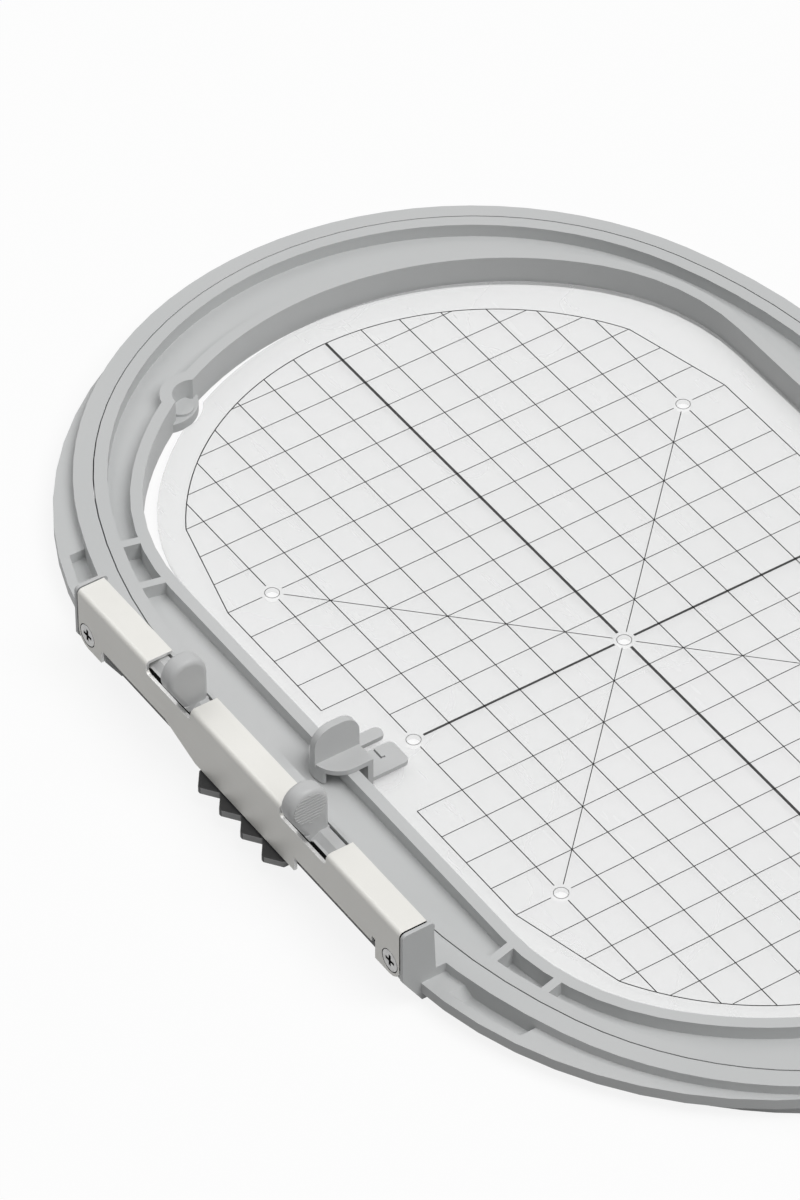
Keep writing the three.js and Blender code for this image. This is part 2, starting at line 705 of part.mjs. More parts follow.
function gripOutline() {
  const centre = GRIP_HALF_WIDTH - GRIP_FLANGE_OUT;
  return [
    point(GRIP_FLANGE_IN, -GRIP_HALF_WIDTH),
    point(GRIP_FLANGE_IN, GRIP_HALF_WIDTH),
    ...arc(centre, 0, GRIP_HALF_WIDTH, Math.PI / 2, 1.5 * Math.PI, SMALL_STEPS),
  ];
}

function gripFin(z0) {
  const foot = z0 - GRIP_FLANGE / 2;
  const far = FIN_IN - FIN_LENGTH;
  const z = z0 + FIN_HEIGHT - FIN_ROUND;
  const outline = [
    point(far, foot),
    point(FIN_IN, foot),
    ...arc(FIN_IN - FIN_ROUND, z, FIN_ROUND, 0, Math.PI / 2, 2 * CORNER_STEPS),
    ...arc(far + FIN_ROUND, z, FIN_ROUND, Math.PI / 2, Math.PI, 2 * CORNER_STEPS),
  ];
  return prismY(outline, -FIN_THICKNESS / 2, FIN_THICKNESS / 2);
}

// Flat finger of the fork, rounded at its tip
function forkFinger(y0, y1) {
  const root = GRIP_FLANGE_IN - GRIP_LEG / 2;
  const x = FORK_TIP - FORK_ROUND;
  const outline = [
    point(root, y1),
    point(root, y0),
    ...arc(x, y0 + FORK_ROUND, FORK_ROUND, -Math.PI / 2, 0, CORNER_STEPS),
    ...arc(x, y1 - FORK_ROUND, FORK_ROUND, 0, Math.PI / 2, CORNER_STEPS),
  ];
  return prismZ(outline, FORK_BOTTOM, FORK_TOP);
}

// Fork with a hooked slit behind the tongue, whose peg enters the template
function gripFork() {
  const near = forkFinger(-GRIP_HALF_WIDTH, TONGUE_FAR);
  const far = forkFinger(GRIP_HALF_WIDTH - FAR_PRONG, GRIP_HALF_WIDTH);
  const x = FORK_TIP - TONGUE_LENGTH;
  const low = FORK_BOTTOM - PAST;
  const high = FORK_TOP + PAST;
  const slit = box(x - SLIT_WIDTH, x, TONGUE_NEAR, TONGUE_FAR + PAST, low, high);
  const hook = box(x - SLIT_WIDTH, x + SLIT_HOOK, TONGUE_NEAR, TONGUE_NEAR + SLIT_WIDTH, low, high);
  const shoulder = gripPeg(PEG_SHOULDER, TEMPLATE_TOP, FORK_TOP - FORK_THICKNESS / 2);
  const peg = gripPeg(0, TEMPLATE_BOTTOM + PEG_SLOT_GAP, FORK_BOTTOM);
  return near.subtract(slit).subtract(hook).add(far).add(shoulder).add(peg);
}

function templateGrip(side, name) {
  const seat = RIM_TOP + GRIP_SEAT_GAP;
  const inner = box(
    GRIP_FLANGE_IN - GRIP_LEG,
    GRIP_FLANGE_IN,
    -GRIP_HALF_WIDTH,
    GRIP_HALF_WIDTH,
    TEMPLATE_TOP + GRIP_LEG_LIFT,
    seat + GRIP_FLANGE / 2,
  );
  const outer = box(
    -GRIP_FLANGE_OUT,
    -GRIP_FLANGE_OUT + GRIP_LEG,
    -GRIP_OUTER_LEG_HALF,
    GRIP_OUTER_LEG_HALF,
    CHANNEL_FLOOR + GRIP_LEG_FLOOR_GAP,
    seat + GRIP_FLANGE / 2,
  );
  const top = seat + GRIP_FLANGE;
  const trimmed = outer.intersect(prismZ(gripOutline(), 0, top));
  const flange = prismZ(gripOutline(), seat, top);
  const body = flange.add(gripFin(top)).add(trimmed).add(inner).add(gripFork());
  const grip = part(name, body, gripPlastic());
  const holder = new THREE.Group();
  holder.position.x = -side * FIELD.halfWidth;
  holder.rotation.z = side > 0 ? 0 : Math.PI;
  holder.add(grip);
  return holder;
}

// Sheet cover, bent over the front and top of the coupling
function coverProfile() {
  const inner = COVER_BEND - COVER_SHEET;
  const x = COVER_BEND - COVER_FRONT;
  const z = COVER_TOP - COVER_BEND;
  return [
    point(-COVER_FRONT, COVER_LOW),
    point(-COVER_FRONT + COVER_SHEET, COVER_LOW),
    ...arc(x, z, inner, Math.PI, Math.PI / 2, CORNER_STEPS),
    point(-COVER_BACK, COVER_TOP - COVER_SHEET),
    point(-COVER_BACK, COVER_TOP),
    ...arc(x, z, COVER_BEND, Math.PI / 2, Math.PI, CORNER_STEPS),
  ];
}

function coverNotch(side, inner) {
  const centre = COVER_SHALLOW - NOTCH_CORNER;
  const notch = [
    point(COVER_LUG, COVER_LOW - PAST),
    ...arc(COVER_LUG - NOTCH_CORNER, centre, NOTCH_CORNER, 0, Math.PI / 2, CORNER_STEPS),
    ...inner,
  ];
  return prismX(mirrored(notch, side), -COVER_FRONT - PAST, -COVER_FRONT + COVER_SHEET + PAST);
}

// Narrow slot beside the lower lug
function coverRelief() {
  const x = -COVER_FRONT;
  const from = COVER_LUG - RELIEF_WIDTH;
  const top = COVER_SHALLOW + RELIEF_DEPTH;
  return sideBox(-1, x - PAST, x + COVER_SHEET + PAST, from, COVER_LUG, COVER_LOW - PAST, top);
}

function coverLugCorner(side) {
  const low = COVER_LOW - PAST;
  const edge = COVER_HALF + PAST;
  const corner = [
    point(COVER_HALF - LUG_CORNER, low),
    point(edge, low),
    point(edge, COVER_LOW + LUG_CORNER),
    ...arc(COVER_HALF - LUG_CORNER, COVER_LOW + LUG_CORNER, LUG_CORNER, 0, -Math.PI / 2, CORNER_STEPS),
  ];
  return prismX(mirrored(corner, side), -COVER_FRONT - PAST, -COVER_FRONT + COVER_SHEET + PAST);
}

function coverWindow(side) {
  const sill = WINDOW_SILL + WINDOW_CORNER;
  const window = [
    point(WINDOW_TO, COVER_TOP + PAST),
    point(WINDOW_FROM, COVER_TOP + PAST),
    ...arc(WINDOW_FROM + WINDOW_CORNER, sill, WINDOW_CORNER, Math.PI, 1.5 * Math.PI, CORNER_STEPS),
    ...arc(WINDOW_TO - WINDOW_CORNER, sill, WINDOW_CORNER, 1.5 * Math.PI, 2 * Math.PI, CORNER_STEPS),
  ];
  return prismX(mirrored(window, side), -COVER_FRONT - PAST, 0);
}

function couplingCover() {
  const stepAt = COVER_STEP_GAP - COMB_LAST;
  const step = [point(stepAt, COVER_SHALLOW), point(stepAt, COVER_LOW - PAST)];
  const run = COVER_RAMP / (COVER_SHALLOW - COVER_LOW);
  const rampFrom = COMB_FIRST + COVER_RAMP_GAP;
  const ramp = [point(rampFrom + COVER_RAMP, COVER_SHALLOW), point(rampFrom - run * PAST, COVER_LOW - PAST)];
  let sheet = prismY(coverProfile(), -COVER_HALF, COVER_HALF);
  sheet = sheet.subtract(coverNotch(1, ramp)).subtract(coverNotch(-1, step)).subtract(coverRelief());
  for (const { side } of SIDES) {
    const screw = coverScrewBody(SCREW_GAP, SCREW_LENGTH).translate(coverScrewPlace(side));
    sheet = sheet.subtract(coverLugCorner(side)).subtract(coverWindow(side)).subtract(screw);
  }
  return part('coupling_cover', sheet, coatedSteel());
}

// Countersunk screw along +X with its head face at x = 0
function coverScrewBody(gap, length) {
  const cone = SCREW_HEAD - SCREW_SHANK;
  const face = gap > 0 ? -PAST : 0;
  const profile = [
    [0, face],
    [SCREW_HEAD + gap, face],
    [SCREW_HEAD + gap, SCREW_LAND],
    [SCREW_SHANK + gap, SCREW_LAND + cone],
    [SCREW_SHANK + gap, length],
    [0, length],
  ];
  return turnedX(profile, SMALL_STEPS);
}

function coverScrewPlace(side) {
  return [-COVER_FRONT, side * COVER_SCREW_Y, COVER_SCREW_Z];
}

function coverScrew(side, name) {
  const half = CROSS_LENGTH / 2;
  const width = CROSS_WIDTH / 2;
  const across = box(-PAST, CROSS_DEPTH, -half, half, -width, width);
  const along = box(-PAST, CROSS_DEPTH, -width, width, -half, half);
  const screw = part(name, coverScrewBody(0, SCREW_LENGTH).subtract(across).subtract(along), brightSteel());
  screw.position.set(...coverScrewPlace(side));
  return screw;
}

// Carrier plate with the comb in front, the spring post above and a gap for each coupling peg
function combOutline() {
  const points = [point(-CARRIER_FRONT, COMB_FIRST)];
  for (let tooth = 0; tooth < COMB_TEETH; tooth += 1) {
    const start = COMB_FIRST - tooth * COMB_PITCH;
    const tip = start - COMB_PITCH / 2;
    points.push(point(-COMB_VALLEY, start));
    points.push(point(-COMB_VALLEY - COMB_TOOTH, tip + COMB_TIP_FLAT / 2));
    points.push(point(-COMB_VALLEY - COMB_TOOTH, tip - COMB_TIP_FLAT / 2));
  }
  return [
    ...points,
    point(-COMB_VALLEY, COMB_LAST),
    point(-WALL_FRONT - CARRIER_BACK_GAP, COMB_LAST),
    point(-WALL_FRONT - CARRIER_BACK_GAP, COMB_FIRST),
  ];
}

function couplingCarrier() {
  const back = -WALL_FRONT - CARRIER_BACK_GAP;
  const half = BLOCK_FROM - CARRIER_END_GAP;
  const post = box(-CARRIER_FRONT, back, -POST_HALF, POST_HALF, CARRIER_BOTTOM, POST_TOP);
  const riser = box(-CARRIER_FRONT, back, COMB_LAST, COMB_FIRST, COMB_BOTTOM, CARRIER_TOP);
  let carrier = box(-CARRIER_FRONT, back, -half, half, CARRIER_BOTTOM, CARRIER_TOP);
  carrier = carrier.add(post).add(riser).add(prismZ(combOutline(), COMB_BOTTOM, COMB_TOP));
  for (const { side } of SIDES) {
    const space = sideBox(
      side,
      -PEG_SPACE_FRONT,
      0,
      PEG_SPACE_FROM,
      PEG_SPACE_TO,
      CARRIER_BOTTOM - PAST,
      CARRIER_TOP + PAST,
    );
    const screw = carrierScrewBody(SCREW_GAP).translate(carrierScrewPlace(side));
    carrier = carrier.subtract(space).subtract(screw);
  }
  return part('coupling_carrier', carrier, blackPlastic());
}

// Pan-head screw along +Z with its head face at z = 0
function carrierScrewBody(gap) {
  const bottom = CARRIER_TOP + BOSS_HEIGHT - BOSS_SKIN - COMB_BOTTOM;
  const tip = gap > 0 ? bottom : bottom - SCREW_TIP_GAP;
  const face = gap > 0 ? -PAST : 0;
  const profile = [
    [0, face],
    [CARRIER_SCREW_HEAD + gap, face],
    [CARRIER_SCREW_HEAD + gap, CARRIER_SCREW_HEAD_HEIGHT + gap],
    [CARRIER_SCREW_SHANK + gap, CARRIER_SCREW_HEAD_HEIGHT + gap],
    [CARRIER_SCREW_SHANK + gap, tip],
    [0, tip],
  ];
  return turnedZ(profile, SMALL_STEPS);
}

function carrierScrewPlace(side) {
  return [MECHANISM_X, side * CARRIER_SCREW_Y, COMB_BOTTOM];
}

function carrierScrew(side, name) {
  const screw = part(name, carrierScrewBody(0), brightSteel());
  screw.position.set(...carrierScrewPlace(side));
  return screw;
}

// Release slider: plate under the cover, stem down to the latch and a ribbed finger tab
function tabOutline() {
  const z = SLIDER_TOP + TAB_RISE;
  return [
    point(-SLIDER_FRONT, SLIDER_LOW),
    point(-TAB_CENTRE + TAB_RADIUS, SLIDER_LOW),
    ...arc(-TAB_CENTRE, z, TAB_RADIUS, 0, TAB_SWEEP, SMALL_STEPS),
  ];
}

function tabRibs(side, face) {
  const z = SLIDER_TOP + TAB_RISE;
  const skin = sidePrismY(side, tabOutline(), face - RIB_PROUD, face + RIB_PROUD);
  const low = z - ((RIB_COUNT - 1) * RIB_PITCH) / 2;
  let ribs = null;
  for (let i = 0; i < RIB_COUNT; i += 1) {
    const height = low + i * RIB_PITCH;
    const strip = sideBox(
      side,
      -TAB_CENTRE - TAB_RADIUS,
      -TAB_CENTRE + TAB_RADIUS,
      face - RIB_PROUD,
      face + RIB_PROUD,
      height - RIB_WIDTH / 2,
      height + RIB_WIDTH / 2,
    );
    ribs = ribs ? ribs.add(strip) : strip;
  }
  return ribs.intersect(skin);
}

function releaseSlider(side, name, tabFrom) {
  const skirt = SLIDER_LOW - SLIDER_SKIRT_DROP;
  const outline = [
    point(-SLIDER_FRONT, skirt),
    point(-SLIDER_FRONT + SLIDER_SKIRT, skirt),
    point(-SLIDER_FRONT + SLIDER_SKIRT, SLIDER_LOW),
    point(-SLIDER_BACK, SLIDER_LOW),
    point(-SLIDER_BACK, SLIDER_TOP),
    point(-SLIDER_FRONT + SLIDER_SLOPE, SLIDER_TOP),
    point(-SLIDER_FRONT, SLIDER_TOP - SLIDER_SLOPE_DROP),
  ];
  const plate = sidePrismY(side, outline, SLIDER_FROM, SLIDER_TO);
  const middle = SLIDER_TOP - SLIDER_PLATE / 2;
  const stem = sideBox(side, -SLIDER_FRONT, -SLIDER_BACK, STEM_FROM, STEM_TO, LATCH_TOP, middle);
  const tabTo = tabFrom + TAB_THICKNESS;
  const tab = sidePrismY(side, tabOutline(), tabFrom, tabTo);
  let slider = plate.add(stem).add(tab).add(tabRibs(side, tabTo));
  for (const y of [STEM_FROM + RIVET_INSET, STEM_TO - RIVET_INSET]) {
    const rivet = circle(MECHANISM_X, side * y, RIVET_RADIUS, SMALL_STEPS);
    slider = slider.add(prismZ(rivet, LATCH_BOTTOM, LATCH_TOP + PAST));
  }
  return part(name, slider, gripPlastic());
}

// Latch plate under the slider's stem, with a bevelled nose that catches the peg
function latchPlate(side, name) {
  const outline = [
    point(LATCH_FROM, LATCH_BOTTOM),
    point(LATCH_TO - LATCH_BEVEL, LATCH_BOTTOM),
    point(LATCH_TO, LATCH_TOP - LATCH_LIP),
    point(LATCH_TO, LATCH_TOP),
    point(LATCH_FROM, LATCH_TOP),
  ];
  let plate = prismX(mirrored(outline, side), -SLIDER_FRONT, -SLIDER_BACK);
  for (const y of [STEM_FROM + RIVET_INSET, STEM_TO - RIVET_INSET]) {
    const hole = circle(MECHANISM_X, side * y, RIVET_RADIUS + RIVET_GAP, SMALL_STEPS);
    plate = plate.subtract(prismZ(hole, LATCH_BOTTOM - PAST, LATCH_TOP + PAST));
  }
  return part(name, plate, brightSteel());
}

// Compression spring between the carrier's post and the slider's stem
class Helix extends THREE.Curve {
  constructor(start, end) {
    super();
    this.start = start;
    this.end = end;
  }

  getPoint(t, target = new THREE.Vector3()) {
    const angle = 2 * Math.PI * SPRING_TURNS * t;
    const y = this.start + (this.end - this.start) * t;
    return target.set(
      MECHANISM_X + SPRING_RADIUS * Math.cos(angle),
      y,
      SPRING_Z + SPRING_RADIUS * Math.sin(angle),
    );
  }
}

function sliderSpring(side, name) {
  const seat = SPRING_SEAT_GAP + SPRING_WIRE / 2;
  const path = new Helix(side * (POST_HALF + seat), side * (STEM_FROM - seat));
  const wire = new THREE.Shape(circle(0, 0, SPRING_WIRE / 2, 5));
  const steps = SPRING_TURNS * 8;
  const coil = new THREE.ExtrudeGeometry(wire, { steps, extrudePath: path, bevelEnabled: false });
  return part(name, bodyOf(coil), brightSteel());
}

// Clamp screw, knob, nut and washer across the split
function clampScrew() {
  const start = -(SPLIT_GAP / 2 + LUG_WIDTH + SHANK_OVERRUN);
  const end = SPLIT_GAP / 2 + LUG_WIDTH + WASHER_THICKNESS + KNOB_SOCKET;
  const shank = prismX(circle(0, 0, CLAMP_SHANK, SMALL_STEPS), start, end);
  const screw = part('clamp_screw', shank, brightSteel());
  screw.position.set(0, CLAMP_Y, CLAMP_Z);
  return screw;
}

function clampKnob() {
  const outline = [];
  const steps = KNOB_FLUTES * FLUTE_STEPS;
  const reach = KNOB_RADIUS - KNOB_EDGE - KNOB_FLUTE_DEPTH;
  for (let i = 0; i < steps; i += 1) {
    const angle = (2 * Math.PI * i) / steps;
    const radius = reach + KNOB_FLUTE_DEPTH * Math.cos(KNOB_FLUTES * angle);
    outline.push(point(radius * Math.cos(angle), radius * Math.sin(angle)));
  }
  const blank = new THREE.ExtrudeGeometry(new THREE.Shape(outline), {
    depth: KNOB_LENGTH - 2 * KNOB_EDGE,
    bevelThickness: KNOB_EDGE,
    bevelSize: KNOB_EDGE,
    bevelSegments: 2,
  });
  const turned = bodyOf(blank.translate(0, 0, KNOB_EDGE).rotateY(Math.PI / 2));
  const socket = prismX(circle(0, 0, CLAMP_SHANK + CLAMP_GAP, ROUND_STEPS), -PAST, KNOB_SOCKET);
  const knob = part('clamp_knob', turned.subtract(socket), gripPlastic());
  const face = SPLIT_GAP / 2 + LUG_WIDTH + WASHER_THICKNESS + CLAMP_GAP;
  knob.position.set(face, CLAMP_Y, CLAMP_Z);
  return knob;
}

function clampNut() {
  const bore = prismX(circle(0, 0, CLAMP_SHANK + CLAMP_GAP, ROUND_STEPS), -PAST, NUT_HEIGHT + PAST);
  const blank = prismX(circle(0, 0, NUT_FLATS / Math.sqrt(3), 6), 0, NUT_HEIGHT);
  const nut = part('clamp_nut', blank.subtract(bore), brightSteel());
  nut.position.set(-(SPLIT_GAP / 2 + LUG_WIDTH), CLAMP_Y, CLAMP_Z);
  return nut;
}

function clampWasher() {
  const bore = prismX(circle(0, 0, CLAMP_SHANK + CLAMP_GAP, ROUND_STEPS), -PAST, WASHER_THICKNESS + PAST);
  const blank = prismX(circle(0, 0, WASHER_RADIUS, ROUND_STEPS), 0, WASHER_THICKNESS);
  const washer = part('clamp_washer', blank.subtract(bore), brightSteel());
  washer.position.set(SPLIT_GAP / 2 + LUG_WIDTH, CLAMP_Y, CLAMP_Z);
  return washer;
}

// Assembly
function coupling() {
  const group = new THREE.Group();
  group.position.x = BAR_X;
  group.add(couplingCover(), couplingCarrier());
  for (const { side, name, tabFrom } of SIDES) {
    group.add(coverScrew(side, `cover_screw_${name}`));
    group.add(carrierScrew(side, `carrier_screw_${name}`));
    group.add(releaseSlider(side, `release_slider_${name}`, tabFrom));
    group.add(latchPlate(side, `latch_plate_${name}`));
    group.add(sliderSpring(side, `slider_spring_${name}`));
  }
  return group;
}

function clamp() {
  const group = new THREE.Group();
  group.add(clampScrew(), clampKnob(), clampNut(), clampWasher());
  return group;
}

// The origin lies on the table, under the middle of the whole hoop
function centred(group) {
  const holder = new THREE.Group();
  holder.add(group);
  const bounds = new THREE.Box3().setFromObject(holder);
  const middle = bounds.getCenter(new THREE.Vector3());
  group.position.set(-middle.x, -middle.y, -bounds.min.z);
  return holder;
}

const hoop = new THREE.Group();
hoop.add(outerHoop(), innerHoop(), template());
hoop.add(templateGrip(1, 'template_grip_left'), templateGrip(-1, 'template_grip_right'));
hoop.add(coupling(), clamp());

export default centred(hoop);
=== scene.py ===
"""Looks of a machine embroidery hoop, in metres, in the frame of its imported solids."""

import json
import math

import bpy
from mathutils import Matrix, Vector

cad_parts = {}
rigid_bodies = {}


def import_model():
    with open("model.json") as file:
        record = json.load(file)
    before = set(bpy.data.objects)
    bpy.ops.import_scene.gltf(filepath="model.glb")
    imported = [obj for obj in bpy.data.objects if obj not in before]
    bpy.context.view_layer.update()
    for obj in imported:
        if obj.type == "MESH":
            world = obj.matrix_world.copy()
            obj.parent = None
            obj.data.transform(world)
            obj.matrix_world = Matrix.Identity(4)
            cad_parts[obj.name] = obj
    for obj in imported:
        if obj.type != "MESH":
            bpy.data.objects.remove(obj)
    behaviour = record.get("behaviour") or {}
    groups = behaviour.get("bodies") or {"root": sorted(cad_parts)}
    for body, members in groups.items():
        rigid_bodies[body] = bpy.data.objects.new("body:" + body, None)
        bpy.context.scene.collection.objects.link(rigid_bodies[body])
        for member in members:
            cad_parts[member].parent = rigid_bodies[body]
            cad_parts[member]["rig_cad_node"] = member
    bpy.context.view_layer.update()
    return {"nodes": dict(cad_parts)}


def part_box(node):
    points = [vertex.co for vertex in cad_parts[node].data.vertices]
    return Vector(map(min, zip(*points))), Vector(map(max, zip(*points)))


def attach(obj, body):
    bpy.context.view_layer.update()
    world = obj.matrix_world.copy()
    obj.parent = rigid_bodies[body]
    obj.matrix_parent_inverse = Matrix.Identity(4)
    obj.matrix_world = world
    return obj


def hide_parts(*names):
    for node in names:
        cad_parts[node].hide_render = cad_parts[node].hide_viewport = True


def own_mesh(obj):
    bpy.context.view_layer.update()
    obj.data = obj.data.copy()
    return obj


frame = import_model()

MM = 0.001

# Solids that other sizes are measured from
TEMPLATE_LOW, TEMPLATE_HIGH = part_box("template")
COVER_LOW, COVER_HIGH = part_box("coupling_cover")
CARRIER_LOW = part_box("coupling_carrier")[0]
HOOP_MIDDLE = (TEMPLATE_LOW + TEMPLATE_HIGH) / 2

# Copies of solids: how near points are one, and from which angle faces are flat, edges sharp or shading soft
MERGE = 0.01 * MM
SLIVER = 0.02 * MM
FLAT_ANGLE = math.radians(0.5)
SHARP_ANGLE = math.radians(28)
SOFT_ANGLE = math.radians(35)
COIL_ANGLE = math.radians(60)

# Share of a face's normal along an axis from which it faces or slopes that way
FACING = 0.9
SLOPING = 0.5

# Rounded edges
EDGE_STEPS = 2
HOOP_EDGE = 0.3 * MM
SHEET_EDGE = 0.12 * MM
GRIP_EDGE = 0.45 * MM
COVER_EDGE = 0.15 * MM
CARRIER_EDGE = 0.2 * MM
SLIDER_EDGE = 0.2 * MM
LATCH_EDGE = 0.12 * MM
SCREW_EDGE = 0.1 * MM
KNOB_EDGE = 0.25 * MM
CLAMP_EDGE = 0.2 * MM
WASHER_EDGE = 0.15 * MM

# Troughs in the flange beside the coupling: where they lie, and how far their walls are drawn in
FLANGE_TOP = 6.1 * MM
TROUGH_FLOOR = 3.7 * MM
TROUGH_BEGINS = 74 * MM
TROUGH_SIDE = -80 * MM
LIP_SIDE = -90.5 * MM
LIP_GROWTH = 1.2 * MM
END_SHIFT = Vector((0.7, 1.9, 0)) * MM

# Finger tabs: top of the slider's plate, middle of the round head, and each tab's inner and outer face
TAB_ROOT = 22.2 * MM
TAB_HEAD = Vector((-102.283, 0, 30.6)) * MM
TAB_FACES = {"upper": (28.263 * MM, 32.963 * MM), "lower": (-17.337 * MM, -22.037 * MM)}
TAB_ROUND = 1.3 * MM
TAB_ROUND_STEPS = 5
TAB_SUNK = 1.0 * MM
RIB_REACH = 4.3 * MM
RIB_DEPTH = 2 * MM
RIB_STEPS = 48

# Coupling: drop of the cover's lower edges below its top, countersinks and drive recesses of its screws, comb
EDGE_DROP = 2.0 * MM
SEAT_MARGIN = 0.2 * MM
SEAT_FLAT = 0.95
DRIVE_RADIUS = 1.6 * MM
DRIVE_DEPTH = 1.4 * MM
COMB_REACH = 8.0 * MM
FLANK_UPRIGHT = 0.4

# Finishes: range in which the cloudy patterns mostly lie, and the cover of clear sheet and of its hole walls
PATTERN_LOW = 0.3
PATTERN_HIGH = 0.7
SHEET_COVER = 0.3
WALL_COVER = 0.05

# Template's printed field, measured from its own middle, which lies off the sheet's
PRINT_OFFSET = Vector((-3.05, -0.3, 0)) * MM
PRINT_MIDDLE = HOOP_MIDDLE + PRINT_OFFSET
PRINT_MIDDLE.z = TEMPLATE_HIGH.z
FIELD_SIDE = 72.5 * MM
FIELD_NOTCH_SIDE = 60 * MM
FIELD_NOTCH_HALF = 20 * MM
FIELD_STRAIGHT = 60 * MM
FIELD_CORNER_SIDE = 65 * MM
FIELD_CORNER_END = 90 * MM
FIELD_END = 127.5 * MM
GRID = 10 * MM
GRID_COLUMNS = 6
GRID_ROWS = 12
MARK_SIDE = 60 * MM
MARK_END = 60 * MM
MARK_CLEAR = 2.8 * MM
MARK_HOLE = 1.65 * MM
MARK_MARGIN = 0.1 * MM
INK = 0.03 * MM
COLUMN_LINE = 0.27 * MM
ROW_LINE = 0.22 * MM
DIAGONAL_LINE = 0.22 * MM
RING_LINE = 0.14 * MM
CROSS_LINE = 0.66 * MM
LONG_LINE = 0.74 * MM
ARC_STEPS = 192
RING_STEPS = 32

# Table and lamps
TABLE_SIZE = 12
TABLE_DROP = 0.2 * MM
TABLE_GLOW = 0.87
TABLE_SEEN = (0.9, 0.9, 0.9, 1)
TABLE_BOUNCE = (0.35, 0.35, 0.35, 1)
WHITE = (1, 1, 1, 1)
ROOM_LIGHT = 0.21
KEY_PLACE = (0.87, -1.62, 3.55)
KEY_AIM = (0, 0, 0)
KEY_SIZE = 3.0
KEY_POWER = 122
BACK_PLACE = (-0.35, 0.9, 1.1)
BACK_AIM = (0, 0.1, 0)
BACK_SIZE = 1.0
BACK_POWER = 4.5

# Camera of the photograph
CAMERA_PLACE = (-0.728985, -0.9894, 1.18631)
CAMERA_TILT = 46.566
CAMERA_ROLL = 0.032
CAMERA_TURN = -33.972
CAMERA_LENS = 217.88
CAMERA_SENSOR = 36
CAMERA_NEAR = 0.05
CAMERA_FAR = 50


# Copying, shaping and finishing pieces


def only(piece):
    """Selects one piece alone and makes it active."""
    bpy.ops.object.select_all(action="DESELECT")
    piece.select_set(True)
    bpy.context.view_layer.objects.active = piece


def apply_modifier(piece, kind, **settings):
    """Adds a modifier to a piece and applies it."""
    only(piece)
    modifier = piece.modifiers.new(kind.lower(), kind)
    for name, value in settings.items():
        setattr(modifier, name, value)
    bpy.ops.object.modifier_apply(modifier=modifier.name)


def smooth_shading(piece, angle=SOFT_ANGLE):
    """Shades soft edges smooth and leaves flat faces flat."""
    only(piece)
    bpy.ops.object.shade_smooth_by_angle(angle=angle)
    apply_modifier(piece, "WEIGHTED_NORMAL", weight=100, keep_sharp=True)


def merged_copy(node, name, whole=True):
    """A copy of a solid, with its facets joined into whole faces unless told not to."""
    only(frame["nodes"][node])
    bpy.ops.object.duplicate()
    piece = bpy.context.active_object
    piece.name = name
    del piece["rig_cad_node"]
    bpy.ops.object.mode_set(mode="EDIT")
    bpy.ops.mesh.select_all(action="SELECT")
    bpy.ops.mesh.remove_doubles(threshold=MERGE)
    if whole:
        bpy.ops.mesh.dissolve_limited(angle_limit=FLAT_ANGLE)
    bpy.ops.object.mode_set(mode="OBJECT")
    return piece


def cut(piece, place, away, keep_both=False):
    """Cuts a piece by a plane and closes what is left, or only scores it where both sides are kept."""
    only(piece)
    bpy.ops.object.mode_set(mode="EDIT")
    bpy.ops.mesh.select_all(action="SELECT")
    bpy.ops.mesh.bisect(
        plane_co=place,
        plane_no=away,
        clear_outer=not keep_both,
        use_fill=not keep_both,
        threshold=SLIVER / 4,
    )
    bpy.ops.object.mode_set(mode="OBJECT")


def round_edges(piece, edge):
    """Rounds the sharp edges of a piece."""
    apply_modifier(
        piece,
        "BEVEL",
        width=edge,
        segments=EDGE_STEPS,
        limit_method="ANGLE",
        angle_limit=SHARP_ANGLE,
        use_clamp_overlap=True,
        miter_outer="MITER_ARC",
    )


def rounded_copy(node, name, edge, whole=True, quarters=False, reshape=None):
    """A copy of a solid with rounded edges, reshaped or scored into quarters first where asked."""
    piece = merged_copy(node, name, whole)
    if reshape:
        reshape(piece)
    if quarters:
        cut(piece, (0, 0, 0), (1, 0, 0), keep_both=True)
        cut(piece, (0, 0, 0), (0, 1, 0), keep_both=True)
    round_edges(piece, edge)
    smooth_shading(piece)
    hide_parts(node)
    return piece


def dress(piece, body, finish):
    """Puts a piece on its body, with its finish."""
    piece.data.materials.clear()
    piece.data.materials.append(finish)
    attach(piece, body)
    return piece


def refinish(piece, finish, chosen):
    """Gives another finish to the faces of a piece that a rule chooses."""
    finishes = piece.data.materials
    if finishes.find(finish.name) < 0:
        finishes.append(finish)
    place = finishes.find(finish.name)
    for face in piece.data.polygons:
        if chosen(face):
            face.material_index = place


# Troughs in the outer hoop's flange


def in_trough(face):
    """A wall of one of the troughs beside the coupling."""
    along = abs(face.center.y - HOOP_MIDDLE.y)
    level = TROUGH_FLOOR < face.center.z < FLANGE_TOP
    return level and along > TROUGH_BEGINS and face.center.x < TROUGH_SIDE


def lip_wall(face):
    """The trough's wall along its outer lip."""
    return in_trough(face) and face.normal.x > FACING and face.center.x < LIP_SIDE


def end_slope(side):
    """A rule for the slope at the far end of the trough on one side along Y."""

    def chosen(face):
        slope = face.normal.z > SLOPING and side * face.normal.y < -SLOPING
        return slope and in_trough(face) and side * face.center.y > 0

    return chosen


def move_corners(piece, chosen, step, top):
    """Moves the corners, up to a level, of the faces that a rule chooses."""
    only(piece)
    bpy.ops.object.mode_set(mode="EDIT")
    bpy.ops.mesh.select_mode(type="VERT")
    bpy.ops.mesh.select_all(action="DESELECT")
    bpy.ops.object.mode_set(mode="OBJECT")
    corners = piece.data.vertices
    for face in piece.data.polygons:
        if chosen(face):
            for index in face.vertices:
                corners[index].select = corners[index].co.z < top + SLIVER
    bpy.ops.object.mode_set(mode="EDIT")
    bpy.ops.transform.translate(value=step)
    bpy.ops.object.mode_set(mode="OBJECT")


